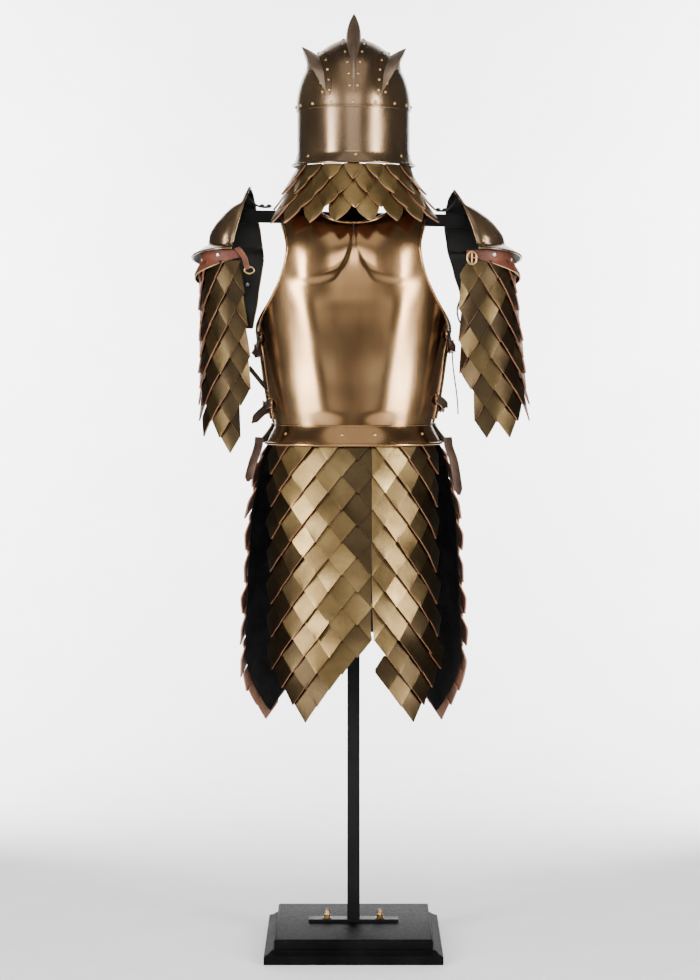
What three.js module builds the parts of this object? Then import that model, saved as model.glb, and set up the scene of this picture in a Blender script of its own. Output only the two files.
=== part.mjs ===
// A suit of plate and leather scale armour on its display stand, in millimetres, +Z up.
// The side shown in the usual view is the back and faces -Y. The origin is the bottom centre of the stand.
import * as THREE from 'three';

// Driving dimensions of the stand
const seat = 0.3;
const baseLower = { half: 175, topHalf: 163, wall: 20, height: 26 };
const baseUpper = { half: 155, bottom: 26.3, height: 19 };
const footStrip = { length: 180, depth: 28, thick: 6 };
const bolt = { offset: 53, nut: 7, nutHeight: 7, cap: 5, height: 18 };
const poleSide = 25;
const crossbar = { half: 228, tall: 25, thick: 6, midZ: 1457.5, slope: -0.0213 };

// Driving dimensions of the helmet: half widths in X, depth is wider than the width by the ratio
const helmet = { top: 1813, lap: 1671, band: 1580, rim: 1560, half: 111.5, wallHalf: 109, rimHalf: 120 };
const helmetDepth = 1.14;
const helmetWall = 2;
const faceHalfAngle = 55;
const headRest = { half: 58, thick: 12 };

// Driving dimensions of the leather scales
const scaleStep = 3;
const leather = 2.5;

// Plate thickness and the extra of a rolled rim
const plate = 2;
const roll = 3;

const finish = {
  bronze: { color: 0x8f7343, roughness: 0.32, metalness: 1 },
  finMetal: { color: 0xa08c68, roughness: 0.3, metalness: 1 },
  scaleLeather: { color: 0x7d6638, roughness: 0.5, metalness: 0.3 },
  darkLeather: { color: 0x3a251a, roughness: 0.7, metalness: 0 },
  russet: { color: 0x7c3d1d, roughness: 0.6, metalness: 0 },
  black: { color: 0x161616, roughness: 0.55, metalness: 0.1 },
  brass: { color: 0xb08d3c, roughness: 0.35, metalness: 1 },
};

const suit = new THREE.Group();

function add(name, geometry, look) {
  const mesh = new THREE.Mesh(geometry, new THREE.MeshStandardMaterial(finish[look]));
  mesh.name = name;
  suit.add(mesh);
  return mesh;
}

// A closed body from shared points and triangles, turned so that its faces point out
function closedBody(points, triangles) {
  const position = new Float32Array(points.length * 3);
  points.forEach((point, k) => point.toArray(position, k * 3));
  const across = new THREE.Vector3();
  let volume = 0;
  for (const [a, b, c] of triangles) {
    volume += points[a].dot(across.crossVectors(points[b], points[c]));
  }
  const index = volume < 0 ? triangles.flatMap(([a, b, c]) => [a, c, b]) : triangles.flat();
  const geometry = new THREE.BufferGeometry();
  geometry.setAttribute('position', new THREE.BufferAttribute(position, 3));
  geometry.setIndex(index);
  geometry.computeVertexNormals();
  return geometry;
}

// Straight-line reading of a table of rows by their first column
function read(table, at, column) {
  const rows = [...table].sort((a, b) => a[0] - b[0]);
  if (at <= rows[0][0]) return rows[0][column];
  for (let k = 1; k < rows.length; k += 1) {
    if (at <= rows[k][0]) {
      const share = (at - rows[k - 1][0]) / (rows[k][0] - rows[k - 1][0]);
      const eased = share * share * (3 - 2 * share);
      const mixed = 0.6 * share + 0.4 * eased;
      return rows[k - 1][column] + (rows[k][column] - rows[k - 1][column]) * mixed;
    }
  }
  return rows[rows.length - 1][column];
}

// The normal of a surface at (u, v), pointing away from the core
function normalAt(surface, u, v, core) {
  const small = 0.004;
  const alongU = surface(u + small, v).sub(surface(u - small, v));
  const alongV = surface(u, v + small).sub(surface(u, v - small));
  const normal = alongU.cross(alongV).normalize();
  const away = surface(u, v).sub(core);
  return normal.dot(away) < 0 ? normal.negate() : normal;
}

// A wall of even or varied thickness under an outer surface, over a grid of u in -1..1 and v in 0..1
function wall(columns, rows, surface, core, thick, closed = false) {
  const points = [];
  const stride = closed ? columns : columns + 1;
  const layers = [0, 1];
  for (const layer of layers) {
    for (let j = 0; j <= rows; j += 1) {
      for (let i = 0; i < stride; i += 1) {
        const u = (2 * i) / columns - 1;
        const v = j / rows;
        const point = surface(u, v);
        const depth = typeof thick === 'function' ? thick(u, v, layer) : layer * thick;
        points.push(point.addScaledVector(normalAt(surface, u, v, core), -depth));
      }
    }
  }
  const inner = stride * (rows + 1);
  const at = (i, j) => j * stride + (i % stride);
  const triangles = [];
  const quad = (a, b, c, d) => triangles.push([a, b, c], [a, c, d]);
  for (let j = 0; j < rows; j += 1) {
    for (let i = 0; i < columns; i += 1) {
      const [a, b, c, d] = [at(i, j), at(i + 1, j), at(i + 1, j + 1), at(i, j + 1)];
      quad(a, b, c, d);
      quad(inner + d, inner + c, inner + b, inner + a);
      if (j === 0) quad(b, a, inner + a, inner + b);
      if (j === rows - 1) quad(d, c, inner + c, inner + d);
      if (!closed && i === 0) quad(a, d, inner + d, inner + a);
      if (!closed && i === columns - 1) quad(c, b, inner + b, inner + c);
    }
  }
  return closedBody(points, triangles);
}

// A wall of overlapping pointed scales. Cells are diamonds on a lattice of half columns and half rows:
// each tip stands two steps proud of the scales below it, and each side corner stands one step proud.
function scaleWall(cells, surface, core, step = scaleStep, thick = leather) {
  const corners = {
    full: [[0, -1, 0], [-1, 0, 1], [0, 1, 2], [1, 0, 1]],
    bottom: [[-1, 0, 1], [0, 1, 2], [1, 0, 1]],
    left: [[0, -1, 0], [-1, 0, 1], [0, 1, 2]],
    right: [[0, -1, 0], [0, 1, 2], [1, 0, 1]],
  };
  const present = new Set(cells.map(({ i, j }) => `${i},${j}`));
  const points = [];
  const places = new Map();
  const triangles = [];
  const edges = new Map();
  const place = (i, j, level) => {
    const key = `${i},${j},${level}`;
    if (!places.has(key)) {
      const rise = level < 0 ? -thick : level * step;
      const point = surface(i, j).addScaledVector(normalAt(surface, i, j, core), rise);
      places.set(key, points.push(point) - 1);
    }
    return places.get(key);
  };
  // The upright face over one edge, from the low levels to the high ones at its two ends
  const upright = (p, q, low, high) => {
    let [a, b] = low;
    while (a < high[0] || b < high[1]) {
      const stepUp = b < high[1] && (b <= a || a === high[0]);
      const third = stepUp ? place(q[0], q[1], b + 1) : place(p[0], p[1], a + 1);
      triangles.push([place(p[0], p[1], a), place(q[0], q[1], b), third]);
      if (stepUp) b += 1;
      else a += 1;
    }
  };
  for (const { i, j, kind = 'full' } of cells) {
    const ring = corners[kind].map(([di, dj, rank]) => {
      const uncovered = rank === 1 && !present.has(`${i + di},${j + dj - 1}`);
      return [i + di, j + dj, uncovered ? 0 : rank];
    });
    for (let k = 1; k < ring.length - 1; k += 1) {
      const fan = [ring[0], ring[k], ring[k + 1]];
      triangles.push(fan.map(([x, y, level]) => place(x, y, level)));
      triangles.push([...fan].reverse().map(([x, y]) => place(x, y, -1)));
    }
    ring.forEach((p, k) => {
      const q = ring[(k + 1) % ring.length];
      const forward = `${p[0]},${p[1]};${q[0]},${q[1]}`;
      const backward = `${q[0]},${q[1]};${p[0]},${p[1]}`;
      if (edges.has(backward)) edges.get(backward).push([q[2], p[2]]);
      else edges.set(forward, [p, q, [p[2], q[2]]]);
    });
  }
  for (const [p, q, own, other] of edges.values()) {
    if (!other) upright(p, q, [-1, -1], own);
    else if (own[0] + own[1] >= other[0] + other[1]) upright(p, q, other, own);
    else upright(q, p, [own[1], own[0]], [other[1], other[0]]);
  }
  return closedBody(points, triangles);
}

// The diamonds of a panel: a straight top edge, and a lowest tip row for each half column
function panelCells(hem, slit = {}) {
  const cells = [];
  const columns = Object.keys(hem).map(Number).sort((a, b) => a - b);
  const [first, last] = [columns[0], columns[columns.length - 1]];
  for (const i of columns) {
    const kind = slit[i] ?? 'full';
    const parity = Math.abs(hem[i] + 1) % 2;
    for (let j = parity; j <= hem[i] - 1; j += 2) {
      if (j > 0) cells.push({ i, j, kind });
      else if (i > first && i < last) cells.push({ i, j, kind: 'bottom' });
    }
  }
  return cells;
}

// A strap: a flat strip along a smooth route, with its width lying along one direction
function strap(route, across, width, thick, samples = 10, taper = 1) {
  const curve = new THREE.CatmullRomCurve3(route.map(([x, y, z]) => new THREE.Vector3(x, y, z)));
  const side = new THREE.Vector3(...across).normalize();
  const points = [];
  const triangles = [];
  for (let k = 0; k <= samples; k += 1) {
    const t = k / samples;
    const centre = curve.getPoint(t);
    const flat = curve.getTangent(t).cross(side).normalize();
    const half = (width / 2) * (1 + (taper - 1) * t);
    for (const [w, h] of [[-1, -1], [1, -1], [1, 1], [-1, 1]]) {
      points.push(centre.clone().addScaledVector(side, w * half).addScaledVector(flat, (h * thick) / 2));
    }
  }
  for (let k = 0; k < samples; k += 1) {
    for (let c = 0; c < 4; c += 1) {
      const [a, b] = [k * 4 + c, k * 4 + ((c + 1) % 4)];
      triangles.push([a, b, b + 4], [a, b + 4, a + 4]);
    }
  }
  const end = samples * 4;
  triangles.push([0, 2, 1], [0, 3, 2], [end, end + 1, end + 2], [end, end + 2, end + 3]);
  return closedBody(points, triangles);
}

// An oval of the body at a height: the angle is measured from the shown side, rounder than an ellipse
const squareness = 2.2;
function oval(halfWidth, depth, angle, z) {
  const power = 2 / squareness;
  const s = Math.sin(angle);
  const c = Math.cos(angle);
  const x = halfWidth * Math.sign(s) * Math.abs(s) ** power;
  const y = -depth * Math.sign(c) * Math.abs(c) ** power;
  return new THREE.Vector3(x, y, z);
}

const degrees = Math.PI / 180;
const radiansOf = (angle) => angle * degrees;

// Stand: two base tiers, foot strip, bolts, pole, crossbar and head rest
function squareTier(profile) {
  const outline = profile.map(([half, z]) => new THREE.Vector2(half * Math.SQRT2, z));
  const tier = new THREE.LatheGeometry(outline, 4);
  tier.rotateX(Math.PI / 2);
  tier.rotateZ(Math.PI / 4);
  return tier;
}

function block(width, depth, height, x, y, bottom) {
  const box = new THREE.BoxGeometry(width, depth, height);
  box.translate(x, y, bottom + height / 2);
  return box;
}

function buildStand() {
  const { half, topHalf, wall: edge, height } = baseLower;
  add('base_lower', squareTier([[0, 0], [half, 0], [half, edge], [topHalf, height], [0, height]]), 'black');
  const upperTop = baseUpper.bottom + baseUpper.height;
  const soft = 3;
  add('base_upper', squareTier([
    [0, baseUpper.bottom],
    [baseUpper.half, baseUpper.bottom],
    [baseUpper.half, upperTop - soft],
    [baseUpper.half - soft, upperTop],
    [0, upperTop],
  ]), 'black');
  const stripBottom = upperTop + seat;
  add('foot_strip', block(footStrip.length, footStrip.depth, footStrip.thick, 0, 0, stripBottom), 'black');
  const stripTop = stripBottom + footStrip.thick;
  for (const [name, side] of [['bolt_left', -1], ['bolt_right', 1]]) {
    const outline = [
      [0, 0], [bolt.nut, 0], [bolt.nut, bolt.nutHeight], [bolt.cap, bolt.nutHeight + 1],
      [bolt.cap, bolt.height - 4], [bolt.cap * 0.6, bolt.height - 1], [0, bolt.height],
    ].map(([r, z]) => new THREE.Vector2(r, z));
    const body = new THREE.LatheGeometry(outline, 12);
    body.rotateX(Math.PI / 2);
    body.translate(side * bolt.offset, 0, stripTop + seat);
    add(name, body, 'brass');
  }
  const restTop = helmet.top - helmetWall - seat;
  const restSag = helmet.top - domeHeight(headRest.half, 0);
  const poleTop = restTop - restSag - headRest.thick - seat;
  const poleBottom = stripTop + seat;
  add('pole', block(poleSide, poleSide, poleTop - poleBottom, 0, 0, poleBottom), 'black');
  const bar = new THREE.BoxGeometry(crossbar.half * 2, crossbar.thick, crossbar.tall);
  bar.rotateY(-Math.atan(crossbar.slope));
  bar.translate(0, poleSide / 2 + seat + crossbar.thick / 2, crossbar.midZ);
  add('crossbar', bar, 'black');
  add('head_rest', buildHeadRest(restTop), 'black');
}

// The height of the helmet dome over a point of its plan
function domeHeight(x, y, grow = 0) {
  const across = (x / (helmet.half + grow)) ** 2 + (y / ((helmet.half + grow) * helmetDepth)) ** 2;
  return helmet.lap + (helmet.top + grow - helmet.lap) * Math.sqrt(Math.max(0, 1 - across));
}

// A rounded pad that follows the inside of the dome
function buildHeadRest(top) {
  const outline = [];
  const steps = 4;
  const facetSag = 1.6;
  const floorZ = domeHeight(headRest.half, 0) - helmetWall - seat - headRest.thick;
  outline.push(new THREE.Vector2(0, floorZ), new THREE.Vector2(headRest.half * 0.9, floorZ));
  for (let k = 0; k < steps; k += 1) {
    const r = headRest.half * (1 - k / steps);
    const clear = helmetWall + seat + facetSag;
    outline.push(new THREE.Vector2(r, domeHeight(r, 0) - clear));
  }
  outline.push(new THREE.Vector2(0, top));
  const pad = new THREE.LatheGeometry(outline, 20);
  pad.rotateX(Math.PI / 2);
  return pad;
}

// Helmet: dome, wall with the face opening, flared rim band and fins
function helmetRing(half, angle, z) {
  return new THREE.Vector3(half * Math.sin(angle), -half * helmetDepth * Math.cos(angle), z);
}

function buildHelmet() {
  const rows = 7;
  const outline = [new THREE.Vector2(0, helmet.top)];
  for (let k = 1; k <= rows; k += 1) {
    const angle = (k / rows) * (Math.PI / 2);
    const rise = (helmet.top - helmet.lap) * Math.cos(angle);
    outline.push(new THREE.Vector2(helmet.half * Math.sin(angle), helmet.lap + rise));
  }
  const lapDrop = 8;
  outline.push(new THREE.Vector2(helmet.half, helmet.lap - lapDrop));
  outline.push(new THREE.Vector2(helmet.half - helmetWall, helmet.lap - lapDrop));
  for (let k = rows; k >= 0; k -= 1) {
    const angle = (k / rows) * (Math.PI / 2);
    const rise = (helmet.top - helmetWall - helmet.lap) * Math.cos(angle);
    const radius = (helmet.half - helmetWall) * Math.sin(angle);
    outline.push(new THREE.Vector2(radius, helmet.lap + rise));
  }
  const dome = new THREE.LatheGeometry(outline.reverse(), 28);
  dome.rotateX(Math.PI / 2);
  dome.scale(1, helmetDepth, 1);
  add('helmet_dome', dome, 'bronze');

  const core = new THREE.Vector3(0, 0, 1620);
  const span = radiansOf(180 - faceHalfAngle);
  const wallTop = helmet.lap + 2;
  const wallBottom = helmet.band + 3.4;
  const wallSide = (u, v) => {
    return helmetRing(helmet.wallHalf - 0.6, u * span, wallBottom + (wallTop - wallBottom) * v);
  };
  add('helmet_wall', wall(24, 2, wallSide, core, helmetWall), 'bronze');
  const rimSide = (u, v) => {
    const z = helmet.rim + (helmet.band + 3 - helmet.rim) * v;
    const flare = helmet.wallHalf + (helmet.rimHalf - helmet.wallHalf) * Math.max(0, 1 - v) ** 1.6;
    return helmetRing(flare, u * span, z);
  };
  add('helmet_rim', wall(24, 2, rimSide, core, helmetWall), 'bronze');
}

// A fin: a hollow-looking blade with a sharp ridge, standing on the dome between two points of its plan
function finBody(start, end, tip, halfThick, stations = 9) {
  const lift = 1.1;
  const foot = new THREE.Vector2();
  const startPlan = new THREE.Vector2(...start);
  const endPlan = new THREE.Vector2(...end);
  const across = new THREE.Vector2(startPlan.y - endPlan.y, endPlan.x - startPlan.x).normalize();
  const onDome = (plan) => new THREE.Vector3(plan.x, plan.y, domeHeight(plan.x, plan.y, lift));
  const ridgeStart = onDome(startPlan);
  const ridgeEnd = onDome(endPlan);
  const tipPoint = new THREE.Vector3(...tip);
  const tipAt = 0.68;
  const points = [];
  const triangles = [];
  for (let k = 1; k < stations; k += 1) {
    const t = k / stations;
    foot.lerpVectors(startPlan, endPlan, 1 - Math.cos((t * Math.PI) / 2));
    const thick = halfThick * Math.sin(Math.PI * t ** 1.25);
    const left = foot.clone().addScaledVector(across, thick);
    const right = foot.clone().addScaledVector(across, -thick);
    const rising = t < tipAt;
    const share = rising ? t / tipAt : (t - tipAt) / (1 - tipAt);
    const base = onDome(foot);
    const ridge = rising ? ridgeStart.clone().lerp(tipPoint, share) : tipPoint.clone().lerp(ridgeEnd, share);
    const bulge = rising ? 14 * Math.sin(Math.PI * share) : -3 * Math.sin(Math.PI * share);
    const outward = base.clone().sub(new THREE.Vector3(0, 0, helmet.lap)).normalize();
    ridge.addScaledVector(outward, bulge);
    const middle = ridge.clone().lerp(base, 0.45);
    const belly = thick * 0.8;
    points.push(base, onDome(left), middle.clone(), ridge, middle.clone(), onDome(right));
    const first = points.length - 6;
    points[first + 2].x += across.x * belly;
    points[first + 2].y += across.y * belly;
    points[first + 4].x -= across.x * belly;
    points[first + 4].y -= across.y * belly;
  }
  const last = stations - 2;
  for (let k = 0; k < last; k += 1) {
    for (let c = 0; c < 6; c += 1) {
      const [a, b] = [k * 6 + c, k * 6 + ((c + 1) % 6)];
      triangles.push([a, b, b + 6], [a, b + 6, a + 6]);
    }
  }
  const startIndex = points.push(ridgeStart) - 1;
  const endIndex = points.push(ridgeEnd) - 1;
  for (let c = 0; c < 6; c += 1) {
    const next = (c + 1) % 6;
    triangles.push([startIndex, next, c], [endIndex, last * 6 + c, last * 6 + next]);
  }
  return closedBody(points, triangles);
}

const fins = [
  { name: 'fin_center', start: [0, -124], end: [0, 4], tip: [1, -40, 1863], half: 12 },
  { name: 'fin_left', start: [-53, -108], end: [-88, 2], tip: [-102, -38, 1797], half: 11 },
  { name: 'fin_right', start: [53, -108], end: [88, 2], tip: [104, -38, 1794], half: 11 },
];

function buildFins() {
  for (const { name, start, end, tip, half } of fins) {
    add(name, finBody(start, end, tip, half), 'finMetal');
  }
}

// Aventail: three rows of scales on a cone below the rim, round the back and the sides
const aventail = { top: 1558.2, pitch: 27.8, topHalf: 119.4, bottomHalf: 168, columnAngle: 10.1 };

function buildAventail() {
  const hem = {};
  for (let i = -8; i <= 8; i += 1) hem[i] = i % 2 === 0 ? 3 : 4;
  const surface = (i, j) => {
    const share = (j * aventail.pitch) / 113;
    const half = aventail.topHalf + (aventail.bottomHalf - aventail.topHalf) * share ** 1.15;
    const depthRatio = helmetDepth + (1 - helmetDepth) * share;
    const angle = radiansOf(i * aventail.columnAngle);
    const z = aventail.top - j * aventail.pitch;
    return new THREE.Vector3(half * Math.sin(angle), -half * depthRatio * Math.cos(angle), z);
  };
  const safe = (i, j) => surface(i, Math.max(j, 0));
  add('aventail', scaleWall(panelCells(hem), safe, new THREE.Vector3(0, 0, 1500)), 'scaleLeather');
}

// Torso sections. Columns: height, half width of the body, half width at the cut edge, depth
const torso = [
  [1048, 157, 155.5, 112],
  [1075, 164, 162.5, 114],
  [1120, 172, 170, 118],
  [1184, 181, 179, 124],
  [1240, 189, 187, 131],
  [1268, 193, 178, 134],
  [1300, 195, 160, 137],
  [1345, 194, 140, 139],
  [1393, 188, 130, 134],
  [1425, 178, 133, 124],
  [1457, 166, 141, 103],
  [1490, 150, 143, 60],
];
const column = { width: 1, cut: 2, depth: 3 };
const waist = 1048;
const shoulder = { neckline: 1444, side: 1482, end: 1470, neckShare: 0.48 };
const farGrow = 7;
const torsoCore = new THREE.Vector3(0, 0, 1240);

function topEdge(u) {
  const share = Math.abs(u) / shoulder.neckShare;
  if (share < 1) return shoulder.neckline + (shoulder.side - shoulder.neckline) * share ** 2.4;
  const past = (Math.abs(u) - shoulder.neckShare) / (1 - shoulder.neckShare);
  return shoulder.side + (shoulder.end - shoulder.side) * past ** 2;
}

// Raised shoulder blades: two broad lobes beside a short spine groove, and a soft step below the chest
function bladeRelief(x, z) {
  const side = Math.abs(x);
  const lobe = Math.exp(-(((side - 52) / 44) ** 2)) * Math.exp(-(((z - 1352) / 52) ** 2));
  const groove = Math.exp(-((x / 9) ** 2)) / (1 + Math.exp(-(z - 1378) / 8));
  const flank = Math.exp(-(((side - 96) / 26) ** 2)) * Math.exp(-(((z - 1180) / 90) ** 2));
  return 8 * lobe - 4 * groove + 3 * flank;
}

function platePoint(u, v, far) {
  const z = waist + seat + (topEdge(u) - waist - seat) * v;
  const grow = far ? farGrow : 0;
  const width = read(torso, z, column.width) + grow;
  const cut = Math.min(read(torso, z, column.cut) + grow, width - 0.2);
  const depth = read(torso, z, column.depth) + grow;
  const limit = Math.asin((cut / width) ** (squareness / 2));
  const point = oval(width, depth, u * limit, z);
  if (far) {
    point.y = -point.y;
    point.y += 4 * Math.exp(-(((z - 1330) / 60) ** 2)) * Math.exp(-((Math.abs(point.x) / 70) ** 2));
  } else {
    point.y -= bladeRelief(point.x, z);
  }
  return point;
}

// Rolled edges stand proud along the sides, the armholes and the neckline
function rolled(u, v, layer) {
  const nearSide = Math.abs(u) > 0.99;
  const nearNeck = v > 0.985 && Math.abs(u) < shoulder.neckShare;
  const extra = nearSide || nearNeck ? roll : 0;
  return layer === 0 ? -extra : plate;
}

// The waist flange: columns are height, half width, depth
const flange = { back: [[1048, 156.5, 112.5], [1010, 175, 131]], front: [[1048, 164, 120], [1010, 189, 140]] };

function flangePoint(u, v, rows, far, spread) {
  const z = waist - seat + (1010 - waist + seat) * v;
  const point = oval(read(rows, z, 1), read(rows, z, 2), u * radiansOf(spread), z);
  if (far) point.y = -point.y;
  return point;
}

function buildPlates() {
  const near = (u, v) => platePoint(u, v, false);
  const far = (u, v) => platePoint(u, v, true);
  add('back_plate', wall(22, 13, near, torsoCore, rolled), 'bronze');
  add('breast_plate', wall(18, 10, far, torsoCore, rolled), 'bronze');
  const hemRoll = (u, v, layer) => (layer === 0 ? -(v > 0.98 ? roll : 0) : plate);
  const back = (u, v) => flangePoint(u, v, flange.back, false, 85);
  const front = (u, v) => flangePoint(u, v, flange.front, true, 88);
  add('flange_back', wall(24, 3, back, torsoCore, hemRoll), 'bronze');
  add('flange_front', wall(24, 3, front, torsoCore, hemRoll), 'bronze');
}

// Skirt: columns are height, half width, depth, and the half width of the panel's side edge
const skirt = { top: 1015, pitch: 32, bandTop: 1041, bandGap: 0.5 };
const nearSkirt = [
  [1016, 169.2, 124.4, 166],
  [950, 175, 131, 170],
  [800, 179, 139, 171],
  [620, 182, 146, 170],
  [430, 184, 150, 168],
];
const farSkirt = [
  [1016, 182, 132.5, 182],
  [950, 200, 140, 200],
  [860, 217, 146, 217],
  [620, 228, 153, 228],
  [430, 226, 156, 226],
];
const slitShift = 0.03;
const hemNearLeft = { '-7': 14, '-6': 15, '-5': 16, '-4': 17, '-3': 16, '-2': 15, '-1': 14, 0: 13, 1: 12 };
const hemNearRight = { 1: 12, 2: 15, 3: 16, 4: 17, 5: 16, 6: 15, 7: 14 };
const hemFar = { 2: 15, 3: 16, 4: 17, 5: 18, 6: 17, 7: 16, 8: 15, 9: 14, 10: 13 };

function nearSkirtPoint(i, j, shift, lean) {
  const z = skirt.top - skirt.pitch * Math.max(j, 0);
  const width = read(nearSkirt, z, 1);
  const limit = Math.asin(Math.min(1, read(nearSkirt, z, 3) / width));
  const u = i / 8 + slitShift * (1 - (i / 8) ** 2);
  const angle = limit * (u - 0.05 * Math.sin(Math.PI * u));
  const point = oval(width, read(nearSkirt, z, 2), angle, z);
  point.x += shift + lean * Math.max(0, (790 - z) / 160) ** 1.4;
  return point;
}

function farSkirtPoint(i, j, side) {
  const z = skirt.top - skirt.pitch * Math.max(j, 0);
  const u = (i - 1) / 10;
  const fromSide = u + 0.06 * Math.sin(Math.PI * u);
  const angle = radiansOf(87 - 81 * fromSide);
  const point = oval(read(farSkirt, z, 1), read(farSkirt, z, 2), angle, z);
  return new THREE.Vector3(side * point.x, -point.y, z);
}

function skirtBand(rows, far, spread) {
  const lowEdge = skirt.top + 5 * seat;
  const inset = plate * 1.3 + skirt.bandGap + (far ? 0.3 : 0);
  return (u, v) => {
    const z = skirt.bandTop + (lowEdge - skirt.bandTop) * v;
    const point = oval(read(rows, z, 1) - inset, read(rows, z, 2) - inset, u * radiansOf(spread), z);
    if (far) point.y = -point.y;
    return point;
  };
}

function buildSkirt() {
  const core = new THREE.Vector3(0, 0, 760);
  const slitGap = 0.4;
  const left = (i, j) => nearSkirtPoint(i, j, -slitGap, 0);
  const right = (i, j) => nearSkirtPoint(i, j, slitGap, 5);
  add('skirt_near_left', scaleWall(panelCells(hemNearLeft, { 1: 'left' }), left, core), 'scaleLeather');
  add('skirt_near_right', scaleWall(panelCells(hemNearRight, { 1: 'right' }), right, core), 'scaleLeather');
  for (const [name, side] of [['skirt_far_left', -1], ['skirt_far_right', 1]]) {
    const surface = (i, j) => farSkirtPoint(i, j, side);
    add(name, scaleWall(panelCells(hemFar), surface, core), 'scaleLeather');
  }
  const bandCore = new THREE.Vector3(0, 0, 1028);
  add('skirt_band_near', wall(20, 1, skirtBand(flange.back, false, 80), bandCore, leather), 'black');
  add('skirt_band_far', wall(20, 1, skirtBand(flange.front, true, 85), bandCore, leather), 'black');
}

// Arms. Columns of the cup: height, inner edge, reach outwards from it, half depth. The hem gives the lowest
// tip row of each half column of the sleeve, wingClear keeps the wing off the cup, and strapDrop is how far
// below the tip its strap ends
const arms = {
  left: {
    side: -1,
    cup: [[1519, 206, 4, 8], [1502, 213, 5, 28], [1484, 218.5, 7, 40], [1475, 220.5, 15, 45],
      [1458, 224.5, 32, 53], [1435, 231, 43, 59], [1405, 238, 51, 64]],
    hem: {
      '-7': 6, '-6': 9, '-5': 12, '-4': 11, '-3': 10, '-2': 11, '-1': 10, 0: 9, 1: 8, 2: 7, 3: 6, 4: 5,
    },
    wing: [[1470, 196, 230, 50], [1430, 188, 252, 60], [1380, 182, 280, 66], [1297, 194, 262, 66],
      [1239, 204, 222, 62]],
    wingClear: 2.9,
    strapDrop: 15.8,
    lean: 0.0,
  },
  right: {
    side: 1,
    cup: [[1513, 200, 4, 8], [1496, 211, 5, 28], [1479, 219.5, 7, 40], [1474, 221, 14, 43],
      [1464, 225, 30, 50], [1450, 231, 43, 55], [1432, 237, 52, 60], [1405, 245, 57, 64]],
    hem: {
      '-8': 7, '-7': 8, '-6': 11, '-5': 10, '-4': 11, '-3': 10, '-2': 9, '-1': 10, 0: 9, 1: 8, 2: 7, 3: 6, 4: 5,
    },
    wing: [[1444, 184, 252, 60], [1400, 190, 280, 66], [1350, 204, 290, 68], [1310, 216, 262, 66],
      [1278, 222, 232, 62]],
    wingClear: 2.3,
    strapDrop: 11.9,
    lean: 0.1,
  },
};
const brim = { reach: 33, depth: 30, nearDrop: 9, farDrop: 44 };
const sleeve = { pitch: 31.5, top: 1371, share: 0.5 };

// A point of the rings that spread from the cup's lower edge out to the brim's edge
function armRing(arm, share, angle, z) {
  const [, edge, reach, half] = arm.cup[arm.cup.length - 1];
  const x = edge + (reach + brim.reach * share) * Math.cos(angle);
  return new THREE.Vector3(arm.side * x, (half + brim.depth * share) * Math.sin(angle), z);
}

function brimHeight(arm, share, angle) {
  const lowest = arm.cup[arm.cup.length - 1][0];
  const drop = brim.nearDrop + ((brim.farDrop - brim.nearDrop) * (1 + Math.sin(angle))) / 2;
  return lowest - seat - drop * share;
}

function buildArm(label) {
  const arm = arms[label];
  const [lowest, edge] = arm.cup[arm.cup.length - 1];
  const top = arm.cup[0][0];
  const core = new THREE.Vector3(arm.side * (edge - 10), 0, lowest - 60);
  const quarter = Math.PI / 2;
  const cup = (u, v) => {
    const z = lowest + (top - lowest) * v;
    const x = read(arm.cup, z, 1) + read(arm.cup, z, 2) * Math.cos(u * quarter);
    return new THREE.Vector3(arm.side * x, read(arm.cup, z, 3) * Math.sin(u * quarter), z);
  };
  add(`pauldron_${label}`, wall(16, 7, cup, core, plate), 'bronze');
  const brimSide = (u, v) => {
    const angle = u * quarter;
    return armRing(arm, v, angle, brimHeight(arm, v, angle));
  };
  add(`brim_${label}`, wall(16, 2, brimSide, core, plate), 'bronze');

  const rows = [...arm.wing].sort((a, b) => b[0] - a[0]);
  const wingSide = (u, v) => {
    const z = rows[0][0] + (rows[rows.length - 1][0] - rows[0][0]) * v;
    const [inner, outer, far] = [read(rows, z, 1), read(rows, z, 2), read(rows, z, 3)];
    const across = Math.max(0, (u + 1) / 2);
    const x = inner + (outer - inner) * across;
    const inCup = z > lowest - 12;
    const y = inCup ? Math.min(far, cupDepthAt(arm, z, x) - plate - arm.wingClear) : far - 22 * across ** 2.5;
    return new THREE.Vector3(arm.side * x, y, z);
  };
  add(`wing_${label}`, wall(8, 10, wingSide, core, plate), 'bronze');

  const band = (u, v) => {
    const angle = radiansOf(-108 + 92 * (u + 1));
    const onBrim = brimHeight(arm, sleeve.share, angle) - plate * 1.8;
    const bandTop = onBrim - 4.9;
    const drop = 14 + 44 * Math.max(0, Math.sin(radiansOf(45 * (u + 1)))) ** 1.3;
    const z = bandTop - drop * v;
    const point = armRing(arm, sleeve.share, angle, z);
    const below = Math.max(0, sleeve.top - z);
    const grow = 0.5 + leather + Math.min(8.5, 0.34 * below);
    point.x += arm.side * (grow * Math.cos(angle) + arm.lean * below);
    point.y += grow * Math.sin(angle);
    return point;
  };
  const bandCore = new THREE.Vector3(arm.side * (edge + 10), 0, lowest - 60);
  add(`arm_band_${label}`, wall(18, 3, band, bandCore, leather), 'russet');

  const sleevePoint = (i, j) => {
    const z = sleeve.top - sleeve.pitch * Math.max(j, 0);
    const drop = sleeve.top - z;
    const nearLimit = 104 + 16 * Math.min(1, drop / 190);
    const angle = radiansOf(i < 0 ? (i / 7) * nearLimit : (i / 5) * 74);
    const point = armRing(arm, sleeve.share, angle, z);
    point.x += arm.side * arm.lean * drop;
    return point;
  };
  const foldedEdge = { [label === 'left' ? -7 : -8]: 'right' };
  add(`sleeve_${label}`, scaleWall(panelCells(arm.hem, foldedEdge), sleevePoint, bandCore), 'scaleLeather');
}

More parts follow.
